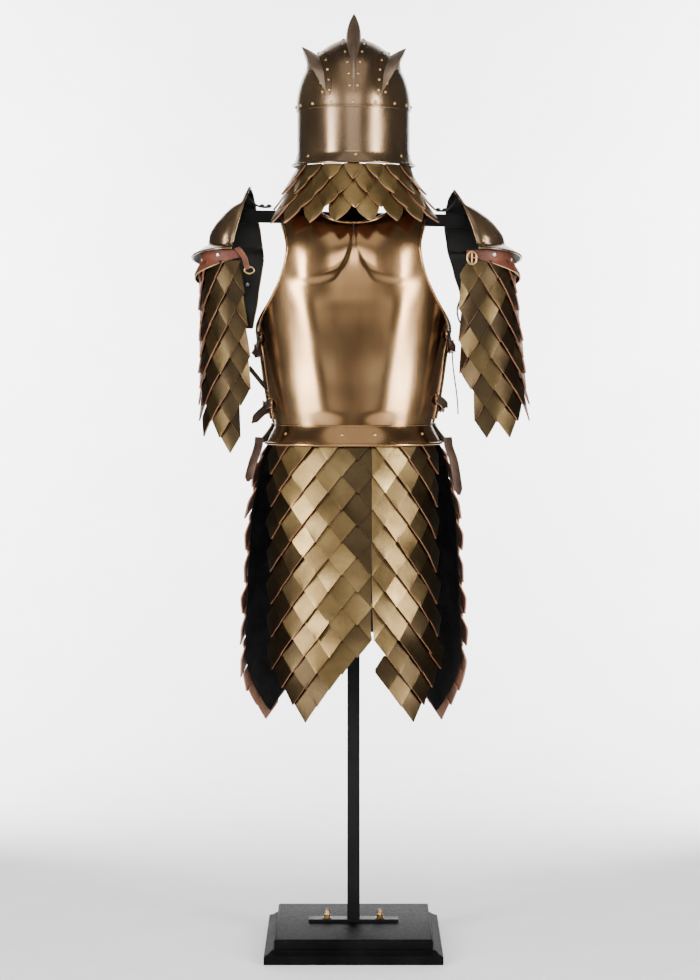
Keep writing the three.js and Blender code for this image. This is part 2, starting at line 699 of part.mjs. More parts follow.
// The half depth of the cup at a height and a distance from the middle of the suit
function cupDepthAt(arm, z, x) {
  const height = Math.max(z, arm.cup[arm.cup.length - 1][0]);
  const edge = read(arm.cup, height, 1);
  const share = Math.min(1, Math.max(0, (x - edge) / read(arm.cup, height, 2)));
  return read(arm.cup, height, 3) * Math.sqrt(1 - share * share);
}

// Straps. The side straps lie on both plates and cross the open sides, each under a buckle frame
const sideStraps = [
  { name: 'upper_left', side: -1, high: 1222, low: 1190 },
  { name: 'upper_right', side: 1, high: 1228, low: 1198 },
  { name: 'lower_left', side: -1, high: 1092, low: 1076 },
  { name: 'lower_right', side: 1, high: 1100, low: 1080 },
];
const sideStrap = { width: 18, thick: 3, start: 0.86 };
const buckle = { outer: 13, inner: 9.5, thick: 2.5 };

// The share of the plate's height at which a column of it reaches a height
function shareAt(u, z) {
  return (z - waist - seat) / (topEdge(u) - waist - seat);
}

function onPlate(u, z, far, lift) {
  const surface = (a, b) => platePoint(a, b, far);
  const v = shareAt(u, z);
  const point = surface(u, v);
  return point.addScaledVector(normalAt(surface, u, v, torsoCore), lift);
}

function buildSideStraps() {
  const flatLift = seat + sideStrap.thick / 2;
  const rollLift = flatLift + roll;
  for (const { name, side, high, low } of sideStraps) {
    const middle = (high + low) / 2;
    const outer = onPlate(side * 0.999, low + 4, true, rollLift + 1);
    const route = [
      onPlate(side * sideStrap.start, high, false, flatLift + 2.2),
      onPlate(side * 0.94, high - 3, false, flatLift + 3.2),
      onPlate(side * 0.999, middle + 4, false, rollLift + 2.6),
      new THREE.Vector3(outer.x + side * 1.5, outer.y - 9, low + 6),
      new THREE.Vector3(outer.x + side * 1.0, outer.y + 4, low + 3),
      onPlate(side * 0.94, low, true, flatLift + 2.6),
      onPlate(side * 0.88, low - 2, true, flatLift + 0.8),
    ].map((point) => point.toArray());
    add(`strap_${name}`, strap(route, [0, 0.25, 1], sideStrap.width, sideStrap.thick, 14), 'darkLeather');
    const frame = squareFrame(buckle.outer, buckle.inner, buckle.thick);
    frame.rotateY(Math.PI / 2);
    const x = outer.x + side * (1.6 + sideStrap.thick / 2 + seat + buckle.thick / 2);
    frame.translate(x, outer.y - 4, low + 5);
    add(`buckle_${name}`, frame, 'brass');
  }
}

function squareFrame(outer, inner, thick) {
  const shape = new THREE.Shape();
  shape.moveTo(-outer, -outer);
  shape.lineTo(outer, -outer);
  shape.lineTo(outer, outer);
  shape.lineTo(-outer, outer);
  shape.closePath();
  const hole = new THREE.Path();
  hole.moveTo(-inner, -inner);
  hole.lineTo(-inner, inner);
  hole.lineTo(inner, inner);
  hole.lineTo(inner, -inner);
  hole.closePath();
  shape.holes.push(hole);
  const frame = new THREE.ExtrudeGeometry(shape, { depth: thick, bevelEnabled: false });
  frame.translate(0, 0, -thick / 2);
  return frame;
}

// The top of the crossbar at a place along it
function barTop(x) {
  return crossbar.midZ + crossbar.slope * x + crossbar.tall / 2;
}

function buildHangers() {
  const barY = poleSide / 2 + seat + crossbar.thick / 2;
  for (const [label, side] of [['left', -1], ['right', 1]]) {
    const u = side * 0.66;
    const lift = seat + 1.5;
    const nearLow = onPlate(u, 1473, false, lift + 2.2);
    const nearTop = onPlate(u, topEdge(u) - 1, false, lift + 1.6);
    const farTop = onPlate(u, topEdge(u) - 1, true, lift + 2.2);
    const farLow = onPlate(u, 1475, true, lift + 4);
    const x = nearTop.x;
    const rest = barTop(x) + lift + 0.3;
    const route = [
      [nearLow.x, nearLow.y, nearLow.z],
      [x, nearTop.y, nearTop.z + 2.5],
      [x, -20, (nearTop.z + rest) / 2 + 1],
      [x, barY, rest],
      [x, (barY + farTop.y) / 2, (farTop.z + rest) / 2 + 2],
      [x, farTop.y, farTop.z + 2.5],
      [farLow.x, farLow.y, farLow.z],
    ];
    add(`shoulder_strap_${label}`, strap(route, [1, 0, 0], 28, 3, 16), 'darkLeather');

    const [tipZ, tipX] = arms[label].cup[0];
    const hang = [
      [side * 166, barY, barTop(side * 166) + 1.8],
      [side * 182, barY, barTop(side * 182) + 1.8],
      [side * (tipX - 10), barY, barTop(side * 200) + 6],
      [side * (tipX + 3), barY, (barTop(side * 205) + tipZ) / 2],
      [side * (tipX + 5), barY, tipZ - arms[label].strapDrop],
    ];
    add(`pauldron_strap_${label}`, strap(hang, [0, 1, 0], 14, 2.5, 12), 'black');
  }
}

// Hip flaps: leather tabs that hang from the waist at each side
function buildHipFlaps() {
  const flaps = [['left', -1, 932], ['right', 1, 905]];
  for (const [label, side, low] of flaps) {
    const route = [
      [side * 188, -5.4, 1021],
      [side * 191, -5.6, 1000],
      [side * 201, -7, 970],
      [side * 211, -9, low],
    ];
    add(`hip_flap_${label}`, strap(route, [0, 1, 0], 21.6, 3, 8, 1.25), 'darkLeather');
  }
}

// The lace hangs free from the upper right buckle. Its route is set by hand
const lace = {
  radius: 1.4,
  route: [
    [198.3, 21.0, 1189.4], [198.3, 21.0, 1185], [198.6, 20.8, 1178], [199.2, 20.4, 1169],
    [200.1, 19.9, 1159], [201.3, 19.3, 1149], [202.7, 18.7, 1139], [204.1, 18.2, 1129],
    [205.5, 17.9, 1119], [206.8, 17.8, 1109], [207.9, 17.9, 1099], [208.8, 18.2, 1090],
    [209.4, 18.5, 1081], [209.7, 18.8, 1073], [209.8, 19.0, 1066],
  ],
};

function buildLace() {
  const path = new THREE.CatmullRomCurve3(lace.route.map(([x, y, z]) => new THREE.Vector3(x, y, z)));
  const section = new THREE.Shape();
  section.absarc(0, 0, lace.radius, 0, 2 * Math.PI, false);
  const settings = { steps: 20, curveSegments: 4, extrudePath: path, bevelEnabled: false };
  add('lace_right', new THREE.ExtrudeGeometry(section, settings), 'black');
}

// The oval buckle on the right arm band
function buildArmBuckle() {
  const arm = arms.right;
  const angle = radiansOf(-100);
  const place = armRing(arm, sleeve.share, angle, 0);
  const outline = new THREE.Shape();
  outline.absellipse(0, 0, 11, 14, 0, 2 * Math.PI, false);
  const hole = new THREE.Path();
  hole.absellipse(0, 0, 7.5, 10.5, 0, 2 * Math.PI, true);
  outline.holes.push(hole);
  const frame = new THREE.ExtrudeGeometry(outline, { depth: 2.5, bevelEnabled: false, curveSegments: 10 });
  frame.rotateX(Math.PI / 2);
  frame.translate(place.x, place.y - 4.2, 1376);
  add('buckle_arm_right', frame, 'brass');
}

buildStand();
buildHelmet();
buildFins();
buildAventail();
buildPlates();
buildSkirt();
buildArm('left');
buildArm('right');
buildSideStraps();
buildHangers();
buildHipFlaps();
buildLace();
buildArmBuckle();

export default suit;
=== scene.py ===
# A suit of plate and leather scale armour on its black display stand, seen from behind.
import bpy
import math
import random
import numpy as np
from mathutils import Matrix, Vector


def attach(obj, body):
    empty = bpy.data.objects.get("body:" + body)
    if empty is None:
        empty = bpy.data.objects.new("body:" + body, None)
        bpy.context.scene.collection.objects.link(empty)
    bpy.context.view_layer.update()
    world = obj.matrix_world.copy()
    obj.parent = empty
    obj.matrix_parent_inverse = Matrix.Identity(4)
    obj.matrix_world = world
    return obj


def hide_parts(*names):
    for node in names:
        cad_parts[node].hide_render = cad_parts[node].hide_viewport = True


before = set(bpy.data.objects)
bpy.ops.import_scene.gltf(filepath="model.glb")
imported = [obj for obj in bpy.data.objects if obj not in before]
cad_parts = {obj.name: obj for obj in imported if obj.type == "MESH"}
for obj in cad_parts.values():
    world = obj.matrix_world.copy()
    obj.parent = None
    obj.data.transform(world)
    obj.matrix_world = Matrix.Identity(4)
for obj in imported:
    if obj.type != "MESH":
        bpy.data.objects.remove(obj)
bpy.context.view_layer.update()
random.seed(7)
mm = 0.001


def linkNew(name, data):
    obj = bpy.data.objects.new(name, data)
    bpy.context.scene.collection.objects.link(obj)
    return obj


# Camera: level with the suit's waist, far back, with a long lens
cameraSet = {"x": -0.00696, "distance": 4.938, "height": 1.22936, "pitch": 2.0566, "lens": 90.759, "sensor": 36,
             "shiftY": -0.07}
camera = linkNew("suitCamera", bpy.data.cameras.new("suitCamera"))
camera.data.lens = cameraSet["lens"]
camera.data.sensor_width = cameraSet["sensor"]
camera.data.shift_y = cameraSet["shiftY"]
camera.location = (cameraSet["x"], -cameraSet["distance"], cameraSet["height"])
camera.rotation_euler = (math.radians(90 - cameraSet["pitch"]), 0, 0)
bpy.context.scene.camera = camera


# Shared ways of making meshes. Sizes are in millimetres here and become metres in the mesh.
def makeObject(name, verts, faces, materials, faceSlots=None, tones=None):
    mesh = bpy.data.meshes.new(name)
    mesh.from_pydata([(x * mm, y * mm, z * mm) for x, y, z in verts], [], faces)
    for mat in materials:
        mesh.materials.append(mat)
    if faceSlots is not None:
        mesh.polygons.foreach_set("material_index", faceSlots)
    mesh.polygons.foreach_set("use_smooth", [True] * len(mesh.polygons))
    if tones is not None:
        mesh.attributes.new("tone", "FLOAT", "POINT").data.foreach_set("value", tones)
    mesh.update()
    obj = linkNew(name, mesh)
    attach(obj, "root")
    return obj


def finishPiece(obj, slot, *nodes):
    if nodes:
        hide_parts(*nodes)
    return obj


def keepSharp(obj, angle=35):
    # sharp folds stay crisp while the rest shades smoothly
    mesh = obj.data
    limit = math.radians(angle)
    normals = [p.normal.copy() for p in mesh.polygons]
    sides = {}
    for poly in mesh.polygons:
        for key in poly.edge_keys:
            sides.setdefault(key, []).append(poly.index)
    flags = [False] * len(mesh.edges)
    for edge in mesh.edges:
        both = sides.get(tuple(sorted(edge.vertices)), [])
        if len(both) == 2 and normals[both[0]].length and normals[both[1]].length:
            flags[edge.index] = normals[both[0]].angle(normals[both[1]]) > limit
    layer = mesh.attributes.get("sharp_edge") or mesh.attributes.new("sharp_edge", "BOOLEAN", "EDGE")
    layer.data.foreach_set("value", flags)
    return obj


def faceOut(verts, faces):
    # the faces turned so that they all point outwards
    pts = np.array(verts)
    volume = sum(np.dot(pts[f[0]], np.cross(pts[f[k]], pts[f[k + 1]])) for f in faces for k in range(1, len(f) - 1))
    return [tuple(reversed(f)) for f in faces] if volume < 0 else faces


def loftFaces(rings, sides, wrap=False):
    # quads round a row of rings, capped at both ends unless the row runs back to its start
    faces = []
    for k in range(rings if wrap else rings - 1):
        near, far = k * sides, (k + 1) % rings * sides
        for s in range(sides):
            t = (s + 1) % sides
            faces.append((near + s, near + t, far + t, far + s))
    if not wrap:
        faces += [tuple(reversed(range(sides))), tuple(range((rings - 1) * sides, rings * sides))]
    return faces


def shellFaces(columns, rows):
    # outer skin first, then the inner one, then the four edges
    stride = columns + 1
    inner = stride * (rows + 1)
    faces, kinds = [], []
    for j in range(rows):
        for i in range(columns):
            a, b = j * stride + i, j * stride + i + 1
            c, d = b + stride, a + stride
            own = [(0, (a, b, c, d)), (1, (inner + d, inner + c, inner + b, inner + a))]
            if j == 0:
                own.append((2, (b, a, inner + a, inner + b)))
            if j == rows - 1:
                own.append((2, (d, c, inner + c, inner + d)))
            if i == 0:
                own.append((2, (a, d, inner + d, inner + a)))
            if i == columns - 1:
                own.append((2, (c, b, inner + b, inner + c)))
            kinds += [kind for kind, _ in own]
            faces += [face for _, face in own]
    return faces, kinds


def shell(name, columns, rows, surface, core, thick, materials, lift=0.0):
    # an even wall under a surface of u in -1..1 and v in 0..1, with its outside away from the core
    points = np.array([[surface(u, v) for u in np.linspace(-1, 1, columns + 1)] for v in np.linspace(0, 1, rows + 1)])
    alongV, alongU = np.gradient(points, axis=(0, 1))
    normals = np.cross(alongU, alongV)
    normals /= np.maximum(np.linalg.norm(normals, axis=2, keepdims=True), 1e-9)
    j, i = points.shape[0] // 2, points.shape[1] // 2
    if np.dot(normals[j, i], points[j, i] - np.array(core)) < 0:
        normals = -normals
    outer = points + normals * lift
    verts = [tuple(p) for wall in (outer, outer - normals * thick) for p in wall.reshape(-1, 3)]
    faces, kinds = shellFaces(columns, rows)
    slots = [min(k, len(materials) - 1) for k in kinds]
    return keepSharp(makeObject(name, verts, faceOut(verts, faces), materials, slots))


def tube(points, radius, sides=10, closed=False, flat=1.0, upHint=(0, 0, 1)):
    # a round or oval bar through the points, with closed ends
    pts = [Vector(p) for p in points]
    verts = []
    count = len(pts)
    for k, p in enumerate(pts):
        before = pts[k - 1] if (k > 0 or closed) else p
        after = pts[(k + 1) % count] if (k < count - 1 or closed) else p
        along = (after - before).normalized()
        side = along.cross(Vector(upHint))
        if side.length < 1e-4:
            side = along.cross(Vector((1, 0, 0)))
        side.normalize()
        up = side.cross(along)
        r = radius(k / (count - 1)) if callable(radius) else radius
        for s in range(sides):
            angle = 2 * math.pi * s / sides
            verts.append(tuple(p + side * (math.cos(angle) * r) + up * (math.sin(angle) * r * flat)))
    return verts, faceOut(verts, loftFaces(count, sides, closed))


def pipe(name, points, radius, material, slot, sides=10, **shape):
    return finishPiece(makeObject(name, *tube(points, radius, sides, **shape), [material]), slot)


def bend(value, power):
    return math.copysign(abs(value) ** power, value)


def roundRing(centre, a, b, count, power=1.0):
    # points round an oval with the half axes a and b, squarer as the power falls
    turns = [2 * math.pi * k / count for k in range(count)]
    return [tuple(Vector(centre) + Vector(a) * bend(math.cos(t), power) + Vector(b) * bend(math.sin(t), power))
            for t in turns]


def gather(parts):
    verts, faces = [], []
    for v, f in parts:
        base = len(verts)
        verts.extend(v)
        faces.extend(tuple(base + k for k in face) for face in f)
    return verts, faces


studSet = {"sides": 12, "rings": 3, "sunk": 0.8}


def stud(place, normal, radius, height, size):
    # a domed rivet head, sunk a little into what it holds
    n = Vector(normal).normalized()
    side = n.orthogonal().normalized()
    up = n.cross(side)
    centre = Vector(place)
    sides, rings = size["sides"], size["rings"]
    verts, faces = [], []
    levels = [(math.pi / 2) * r / (rings + 1) for r in range(rings + 1)]
    levels = [(radius * math.cos(a), height * math.sin(a)) for a in levels] + [(radius, -size["sunk"])]
    for ring, rise in levels:
        for s in range(sides):
            turn = 2 * math.pi * s / sides
            verts.append(tuple(centre + side * (math.cos(turn) * ring) + up * (math.sin(turn) * ring) + n * rise))
    top, base = len(verts), len(verts) - sides
    verts.append(tuple(centre + n * height))
    for r in range(rings):
        for s in range(sides):
            t = (s + 1) % sides
            faces.append((r * sides + s, r * sides + t, (r + 1) * sides + t, (r + 1) * sides + s))
    for s in range(sides):
        t = (s + 1) % sides
        faces += [(rings * sides + s, rings * sides + t, top), (base + t, base + s, s, t)]
    faces.append(tuple(base + s for s in reversed(range(sides))))
    return verts, faceOut(verts, faces)


def rivets(name, places, radius, height, material, slot="brass"):
    # places holds (point, normal) pairs
    made = gather([stud(p, n, radius, height, studSet) for p, n in places])
    return finishPiece(makeObject(name, *made, [material]), slot)


def outward(point, u, v, core, step=0.01):
    # a place on a surface, and the direction away from the core there
    here = np.array(point(u, v))
    du = np.array(point(min(u + step, 1), v)) - np.array(point(max(u - step, -1), v))
    dv = np.array(point(u, min(v + step, 1))) - np.array(point(u, max(v - step, 0)))
    n = np.cross(du, dv)
    n /= max(np.linalg.norm(n), 1e-9)
    return here, (-n if np.dot(n, here - np.array(core)) < 0 else n)


def studsOn(name, point, spots, core, lift, radius, height, material, slot="brass"):
    places = [outward(point, u, v, core) for u, v in spots]
    return rivets(name, [(here + n * lift, n) for here, n in places], radius, height, material, slot)


def edgePipe(name, point, path, core, radius, lift, material, sides=10):
    # a rolled edge along a path of (u, v) over a surface
    places = [outward(point, u, v, core) for u, v in path]
    return pipe(name, [tuple(here + n * lift) for here, n in places], radius, material, "bronze", sides)


def acrossPath(reach, count, v):
    return [(u, v) for u in np.linspace(-reach, reach, count)]


def upPath(u, low, high, count):
    return [(u, v) for v in np.linspace(low, high, count)]


def smoothLine(route, samples):
    # an even walk along a smooth line through the route's points
    pts = [Vector(p) for p in route]
    padded = [pts[0] * 2 - pts[1]] + pts + [pts[-1] * 2 - pts[-2]]
    fine, steps = [], 12
    for k in range(1, len(padded) - 2):
        a, b, c, d = padded[k - 1:k + 3]
        for s in range(steps):
            t = s / steps
            fine.append(0.5 * ((2 * b) + (c - a) * t + (2 * a - 5 * b + 4 * c - d) * t ** 2
                               + (3 * b - a - 3 * c + d) * t ** 3))
    fine.append(pts[-1])
    lengths = [0.0]
    for k in range(1, len(fine)):
        lengths.append(lengths[-1] + (fine[k] - fine[k - 1]).length)
    out = []
    k = 0
    for s in range(samples + 1):
        want = lengths[-1] * s / samples
        while k < len(fine) - 2 and lengths[k + 1] < want:
            k += 1
        out.append(fine[k].lerp(fine[k + 1], (want - lengths[k]) / max(lengths[k + 1] - lengths[k], 1e-9)))
    return out


bandSection = [(-1, -0.5), (-0.94, -1), (0.94, -1), (1, -0.5), (1, 0.5), (0.94, 1), (-0.94, 1), (-1, 0.5)]
edgeSides = (0, 2, 3, 4, 6, 7)  # the sides of the section that show the cut edge


def band(name, route, across, width, thick, material, slot, nodes=(), samples=28, tip=0.0, edge=None):
    # a leather strap: rounded edges, and a pointed end when tip is more than nought
    pts = smoothLine(route, samples)
    side = Vector(across).normalized()
    verts = []
    for k, p in enumerate(pts):
        along = (pts[min(k + 1, samples)] - pts[max(k - 1, 0)]).normalized()
        flat = along.cross(side).normalized()
        left = 1 - k / samples
        half = width / 2
        if tip > 0 and left < tip:
            half *= max(0.25, math.sin(math.pi / 2 * left / tip))
        verts += [tuple(p + side * (w * half) + flat * (h * thick / 2)) for w, h in bandSection]
    n = len(bandSection)
    kinds = [int(edge is not None and s in edgeSides) for s in range(n)] * samples + [int(edge is not None)] * 2
    mats = [material] + ([edge] if edge is not None else [])
    obj = makeObject(name, verts, faceOut(verts, loftFaces(samples + 1, n)), mats, kinds)
    return finishPiece(keepSharp(obj, 50), slot, *nodes)


# Materials: every surface carries its own procedural wear; the scales also carry painted light and shade
def newMaterial(name):
    mat = bpy.data.materials.new(name)
    mat.use_nodes = True
    tree = mat.node_tree
    tree.nodes.clear()
    out = tree.nodes.new("ShaderNodeOutputMaterial")
    shader = tree.nodes.new("ShaderNodeBsdfPrincipled")
    tree.links.new(shader.outputs[0], out.inputs[0])
    return mat, tree, shader


def addNode(tree, kind, inputs=(), **values):
    # inputs holds numbers to set on named sockets
    node = tree.nodes.new(kind)
    for key, value in values.items():
        setattr(node, key, value)
    for key, value in dict(inputs).items():
        node.inputs[key].default_value = value
    return node


def noiseAt(tree, scale, stretch=(1, 1, 1), detail=4, rough=0.55, distortion=0.0):
    coords = addNode(tree, "ShaderNodeTexCoord")
    mapping = addNode(tree, "ShaderNodeMapping", {"Scale": stretch})
    noise = addNode(tree, "ShaderNodeTexNoise", {"Scale": scale, "Detail": detail, "Roughness": rough,
                                                 "Distortion": distortion})
    tree.links.new(coords.outputs["Object"], mapping.inputs["Vector"])
    tree.links.new(mapping.outputs[0], noise.inputs["Vector"])
    return noise.outputs["Fac"]


def rampOf(tree, source, colours):
    # dark, middle and light colours, or dark and light, spread over the source's middle range
    ramp = addNode(tree, "ShaderNodeValToRGB")
    places = np.linspace(0.3, 0.7, len(colours))
    while len(ramp.color_ramp.elements) < len(colours):
        ramp.color_ramp.elements.new(0.5)
    for element, place, colour in zip(ramp.color_ramp.elements, places, colours):
        element.position = place
        element.color = (*colour, 1)
    tree.links.new(source, ramp.inputs[0])
    return ramp.outputs[0]


def rangeOf(tree, source, low, high, fromLow=0.3, fromHigh=0.7):
    node = addNode(tree, "ShaderNodeMapRange", {"From Min": fromLow, "From Max": fromHigh, "To Min": low,
                                                "To Max": high})
    tree.links.new(source, node.inputs["Value"])
    return node.outputs[0]


def mixColour(tree, share, first, second):
    mix = addNode(tree, "ShaderNodeMix", data_type="RGBA", blend_type="MIX")
    tree.links.new(share, mix.inputs[0])
    tree.links.new(first, mix.inputs[6])
    mix.inputs[7].default_value = (*second, 1)
    return mix.outputs[2]


def bumpFrom(tree, shader, source, strength, distance):
    bump = addNode(tree, "ShaderNodeBump", {"Strength": strength, "Distance": distance})
    tree.links.new(source, bump.inputs["Height"])
    tree.links.new(bump.outputs[0], shader.inputs["Normal"])


metalPlain = {"streak": 60, "stretch": (1, 1, 1), "smudge": 14, "tint": 0.3, "metallic": 1.0, "shine": 0.5, "bump": 0.1}
leatherPlain = {"grain": 240, "patch": 30, "metallic": 0.0, "shine": 0.5, "rough": (0.45, 0.64), "bump": 0.35}


def metalMaterial(name, **own):
    # brushed metal: fine streaks, wide smudges, a second tint in patches
    spec = dict(metalPlain, **own)
    mat, tree, shader = newMaterial(name)
    streaks = noiseAt(tree, spec["streak"], spec["stretch"], 3)
    smudge = noiseAt(tree, spec["smudge"], (1, 1, 0.5), 2, 0.4, 0.2)
    base = mixColour(tree, rangeOf(tree, streaks, 0, spec["tint"]), rampOf(tree, smudge, spec["colours"]),
                     spec["streakColour"])
    tree.links.new(base, shader.inputs["Base Color"])
    shader.inputs["Metallic"].default_value = spec["metallic"]
    rough = rangeOf(tree, noiseAt(tree, spec["smudge"] * 2, (1, 1, 0.5), 3, 0.45), *spec["rough"])
    tree.links.new(rough, shader.inputs["Roughness"])
    shader.inputs["Specular IOR Level"].default_value = spec["shine"]
    bumpFrom(tree, shader, streaks, spec["bump"], 0.0006)
    return mat


def leatherMaterial(name, **own):
    # grained leather, its tone shifted piece by piece by the tone attribute, which carries random tone and painted
    # shade
    spec = dict(leatherPlain, **own)
    mat, tree, shader = newMaterial(name)
    grain = noiseAt(tree, spec["grain"], (1, 1, 1), 6, 0.65)
    patches = noiseAt(tree, spec["patch"], (1, 1, 1), 4, 0.55, 0.3)
    base = rampOf(tree, patches, spec["colours"])
    if "tone" in spec:
        tone = addNode(tree, "ShaderNodeAttribute", attribute_name="tone")
        base = mixColour(tree, rangeOf(tree, tone.outputs["Fac"], 0, spec["tone"], 0, 1), base, spec["toneColour"])
    tree.links.new(base, shader.inputs["Base Color"])
    shader.inputs["Metallic"].default_value = spec["metallic"]
    tree.links.new(rangeOf(tree, grain, *spec["rough"]), shader.inputs["Roughness"])
    shader.inputs["Specular IOR Level"].default_value = spec["shine"]
    bumpFrom(tree, shader, grain, spec["bump"], 0.0008)
    return mat


# Each material's dark, middle and light colours, and what differs from the plain metal or leather
bronzeMat = metalMaterial(
    "brushedBronze", stretch=(1, 1, 0.05), smudge=6, rough=(0.15, 0.27), bump=0.05, streakColour=(0.27, 0.115, 0.05),
    colours=[(0.23, 0.125, 0.055), (0.36, 0.215, 0.098), (0.46, 0.30, 0.15)])
agedMat = metalMaterial(
    "agedBronze", streak=46, stretch=(1, 1, 0.06), smudge=9, tint=0.45, rough=(0.19, 0.32), bump=0.06, metallic=0.9,
    streakColour=(0.10, 0.066, 0.05), colours=[(0.12, 0.082, 0.053), (0.20, 0.127, 0.068), (0.30, 0.198, 0.105)])
finMat = metalMaterial(
    "finMetal", streak=70, stretch=(1, 0.3, 0.1), smudge=18, tint=0.35, rough=(0.28, 0.42), bump=0.12, metallic=0.75,
    streakColour=(0.13, 0.08, 0.05), colours=[(0.15, 0.10, 0.066), (0.225, 0.16, 0.108), (0.33, 0.245, 0.175)])
brassMat = metalMaterial(
    "rivetBrass", smudge=40, rough=(0.22, 0.4), streakColour=(0.26, 0.12, 0.05),
    colours=[(0.36, 0.21, 0.08), (0.5, 0.32, 0.13), (0.62, 0.43, 0.2)])
silverMat = metalMaterial(
    "eyeletSilver", streak=80, smudge=60, rough=(0.2, 0.4), streakColour=(0.3, 0.27, 0.24),
    colours=[(0.45, 0.44, 0.42), (0.62, 0.61, 0.59), (0.75, 0.74, 0.72)])
steelMat = metalMaterial(
    "blackSteel", streak=40, stretch=(1, 1, 0.2), rough=(0.4, 0.58), bump=0.05, metallic=0.0, shine=0.12,
    streakColour=(0.007, 0.0065, 0.006), colours=[(0.002, 0.002, 0.002), (0.003, 0.003, 0.003), (0.005, 0.005, 0.005)])
plateBackMat = metalMaterial(
    "plateUnderside", streak=30, tint=0.4, rough=(0.45, 0.65), metallic=0.2, streakColour=(0.018, 0.015, 0.012),
    colours=[(0.005, 0.005, 0.0045), (0.009, 0.0085, 0.0075), (0.016, 0.015, 0.013)])

# gold-painted scales in three copies that differ by painted light and shade: a lit one under the helmet, a shaded one
# on the skirt and a deeply shaded one on the arms and far skirt panels
scalePaint = {"patch": 16, "metallic": 0.92}
faceMats = {
    "scaleFaceLit": leatherMaterial(
        "scaleFaceLit", rough=(0.29, 0.4), bump=0.42, tone=0.93, toneColour=(0.034, 0.021, 0.009), **scalePaint,
        colours=[(0.21, 0.134, 0.047), (0.295, 0.194, 0.072), (0.40, 0.275, 0.112)]),
    "skirtFaceShaded": leatherMaterial(
        "skirtFaceShaded", rough=(0.28, 0.38), bump=0.42, tone=0.93, toneColour=(0.018, 0.0112, 0.005), **scalePaint,
        colours=[(0.15, 0.096, 0.034), (0.21, 0.137, 0.051), (0.29, 0.197, 0.08)]),
    "sleeveFaceDeepShade": leatherMaterial(
        "sleeveFaceDeepShade", rough=(0.31, 0.42), bump=0.22, tone=0.9, toneColour=(0.017, 0.0105, 0.0055), **scalePaint,
        colours=[(0.062, 0.04, 0.015), (0.088, 0.058, 0.022), (0.125, 0.085, 0.035)]),
}
scaleEdgeMat = leatherMaterial(
    "scaleEdge", grain=200, rough=(0.45, 0.6), bump=0.2, tone=0.4, toneColour=(0.12, 0.05, 0.028),
    colours=[(0.19, 0.078, 0.04), (0.28, 0.122, 0.064), (0.37, 0.175, 0.098)])
scaleBackMat = leatherMaterial(
    "scaleBack", grain=180, patch=25, rough=(0.6, 0.8), bump=0.3,
    colours=[(0.10, 0.042, 0.022), (0.15, 0.064, 0.034), (0.21, 0.092, 0.05)])
feltMat = leatherMaterial(
    "blackFelt", grain=420, patch=20, shine=0.1, rough=(0.85, 0.98), bump=0.5,
    colours=[(0.004, 0.004, 0.0045), (0.007, 0.007, 0.0075), (0.012, 0.012, 0.013)])
darkMat = leatherMaterial(
    "darkLeather", shine=0.22, colours=[(0.022, 0.012, 0.008), (0.04, 0.021, 0.013), (0.068, 0.036, 0.02)])
brownMat = leatherMaterial(
    "brownLeather", patch=40, shine=0.25, colours=[(0.08, 0.034, 0.015), (0.13, 0.058, 0.025), (0.19, 0.088, 0.04)])
russetMat = leatherMaterial(
    "russetLeather", grain=220, patch=24, shine=0.3, rough=(0.5, 0.68), bump=0.3,
    colours=[(0.06, 0.016, 0.008), (0.098, 0.026, 0.012), (0.145, 0.042, 0.02)])
paleMat = leatherMaterial(
    "paleCutEdge", grain=300, patch=60, rough=(0.6, 0.8), bump=0.4,
    colours=[(0.32, 0.17, 0.08), (0.45, 0.27, 0.14), (0.56, 0.37, 0.22)])
woodMat = leatherMaterial(
    "blackWood", grain=160, patch=12, shine=0.03, rough=(0.5, 0.65), bump=0.05,
    colours=[(0.0018, 0.0018, 0.002), (0.003, 0.003, 0.0032), (0.005, 0.005, 0.0053)])
blackMat = leatherMaterial(
    "blackLeather", shine=0.3, rough=(0.4, 0.6), bump=0.3,
    colours=[(0.008, 0.0075, 0.007), (0.014, 0.013, 0.012), (0.024, 0.022, 0.02)])
bronzeSheet = [bronzeMat, plateBackMat, bronzeMat]
agedSheet = [agedMat, plateBackMat, agedMat]
print("stage: materials made")


# Reading the tables of the suit's shape, in millimetres
def read(table, at, column):
    rows = sorted(table, key=lambda row: row[0])
    if at <= rows[0][0]:
        return rows[0][column]
    for a, b in zip(rows, rows[1:]):
        if at <= b[0]:
            share = (at - a[0]) / (b[0] - a[0])
            mixed = 0.6 * share + 0.4 * share * share * (3 - 2 * share)
            return a[column] + (b[column] - a[column]) * mixed
    return rows[-1][column]


def readSmooth(table, at, column):
    # the same table read on a smooth curve through its rows
    rows = sorted(table)
    at = min(max(at, rows[0][0]), rows[-1][0])
    k = max(n for n in range(len(rows) - 1) if rows[n][0] <= at)
    step = rows[k + 1][0] - rows[k][0]
    t = (at - rows[k][0]) / step
    slopes = []
    for n in (k, k + 1):
        low, high = rows[max(n - 1, 0)], rows[min(n + 1, len(rows) - 1)]
        slopes.append((high[column] - low[column]) / (high[0] - low[0]) * step)
    a, b = rows[k][column], rows[k + 1][column]
    return (a * (2 * t ** 3 - 3 * t ** 2 + 1) + slopes[0] * (t ** 3 - 2 * t ** 2 + t)
            + b * (3 * t ** 2 - 2 * t ** 3) + slopes[1] * (t ** 3 - t ** 2))


def oval(halfWidth, depth, angle, z):
    power = 2 / 2.2
    return (halfWidth * bend(math.sin(angle), power), -depth * bend(math.cos(angle), power), z)


# Scales: petals of thick leather laid like roof tiles over a curved lattice of columns and rows
plainShade = {"spread": 1.05, "at": 0, "drift": 0, "fade": 0, "from": 0, "down": 0}
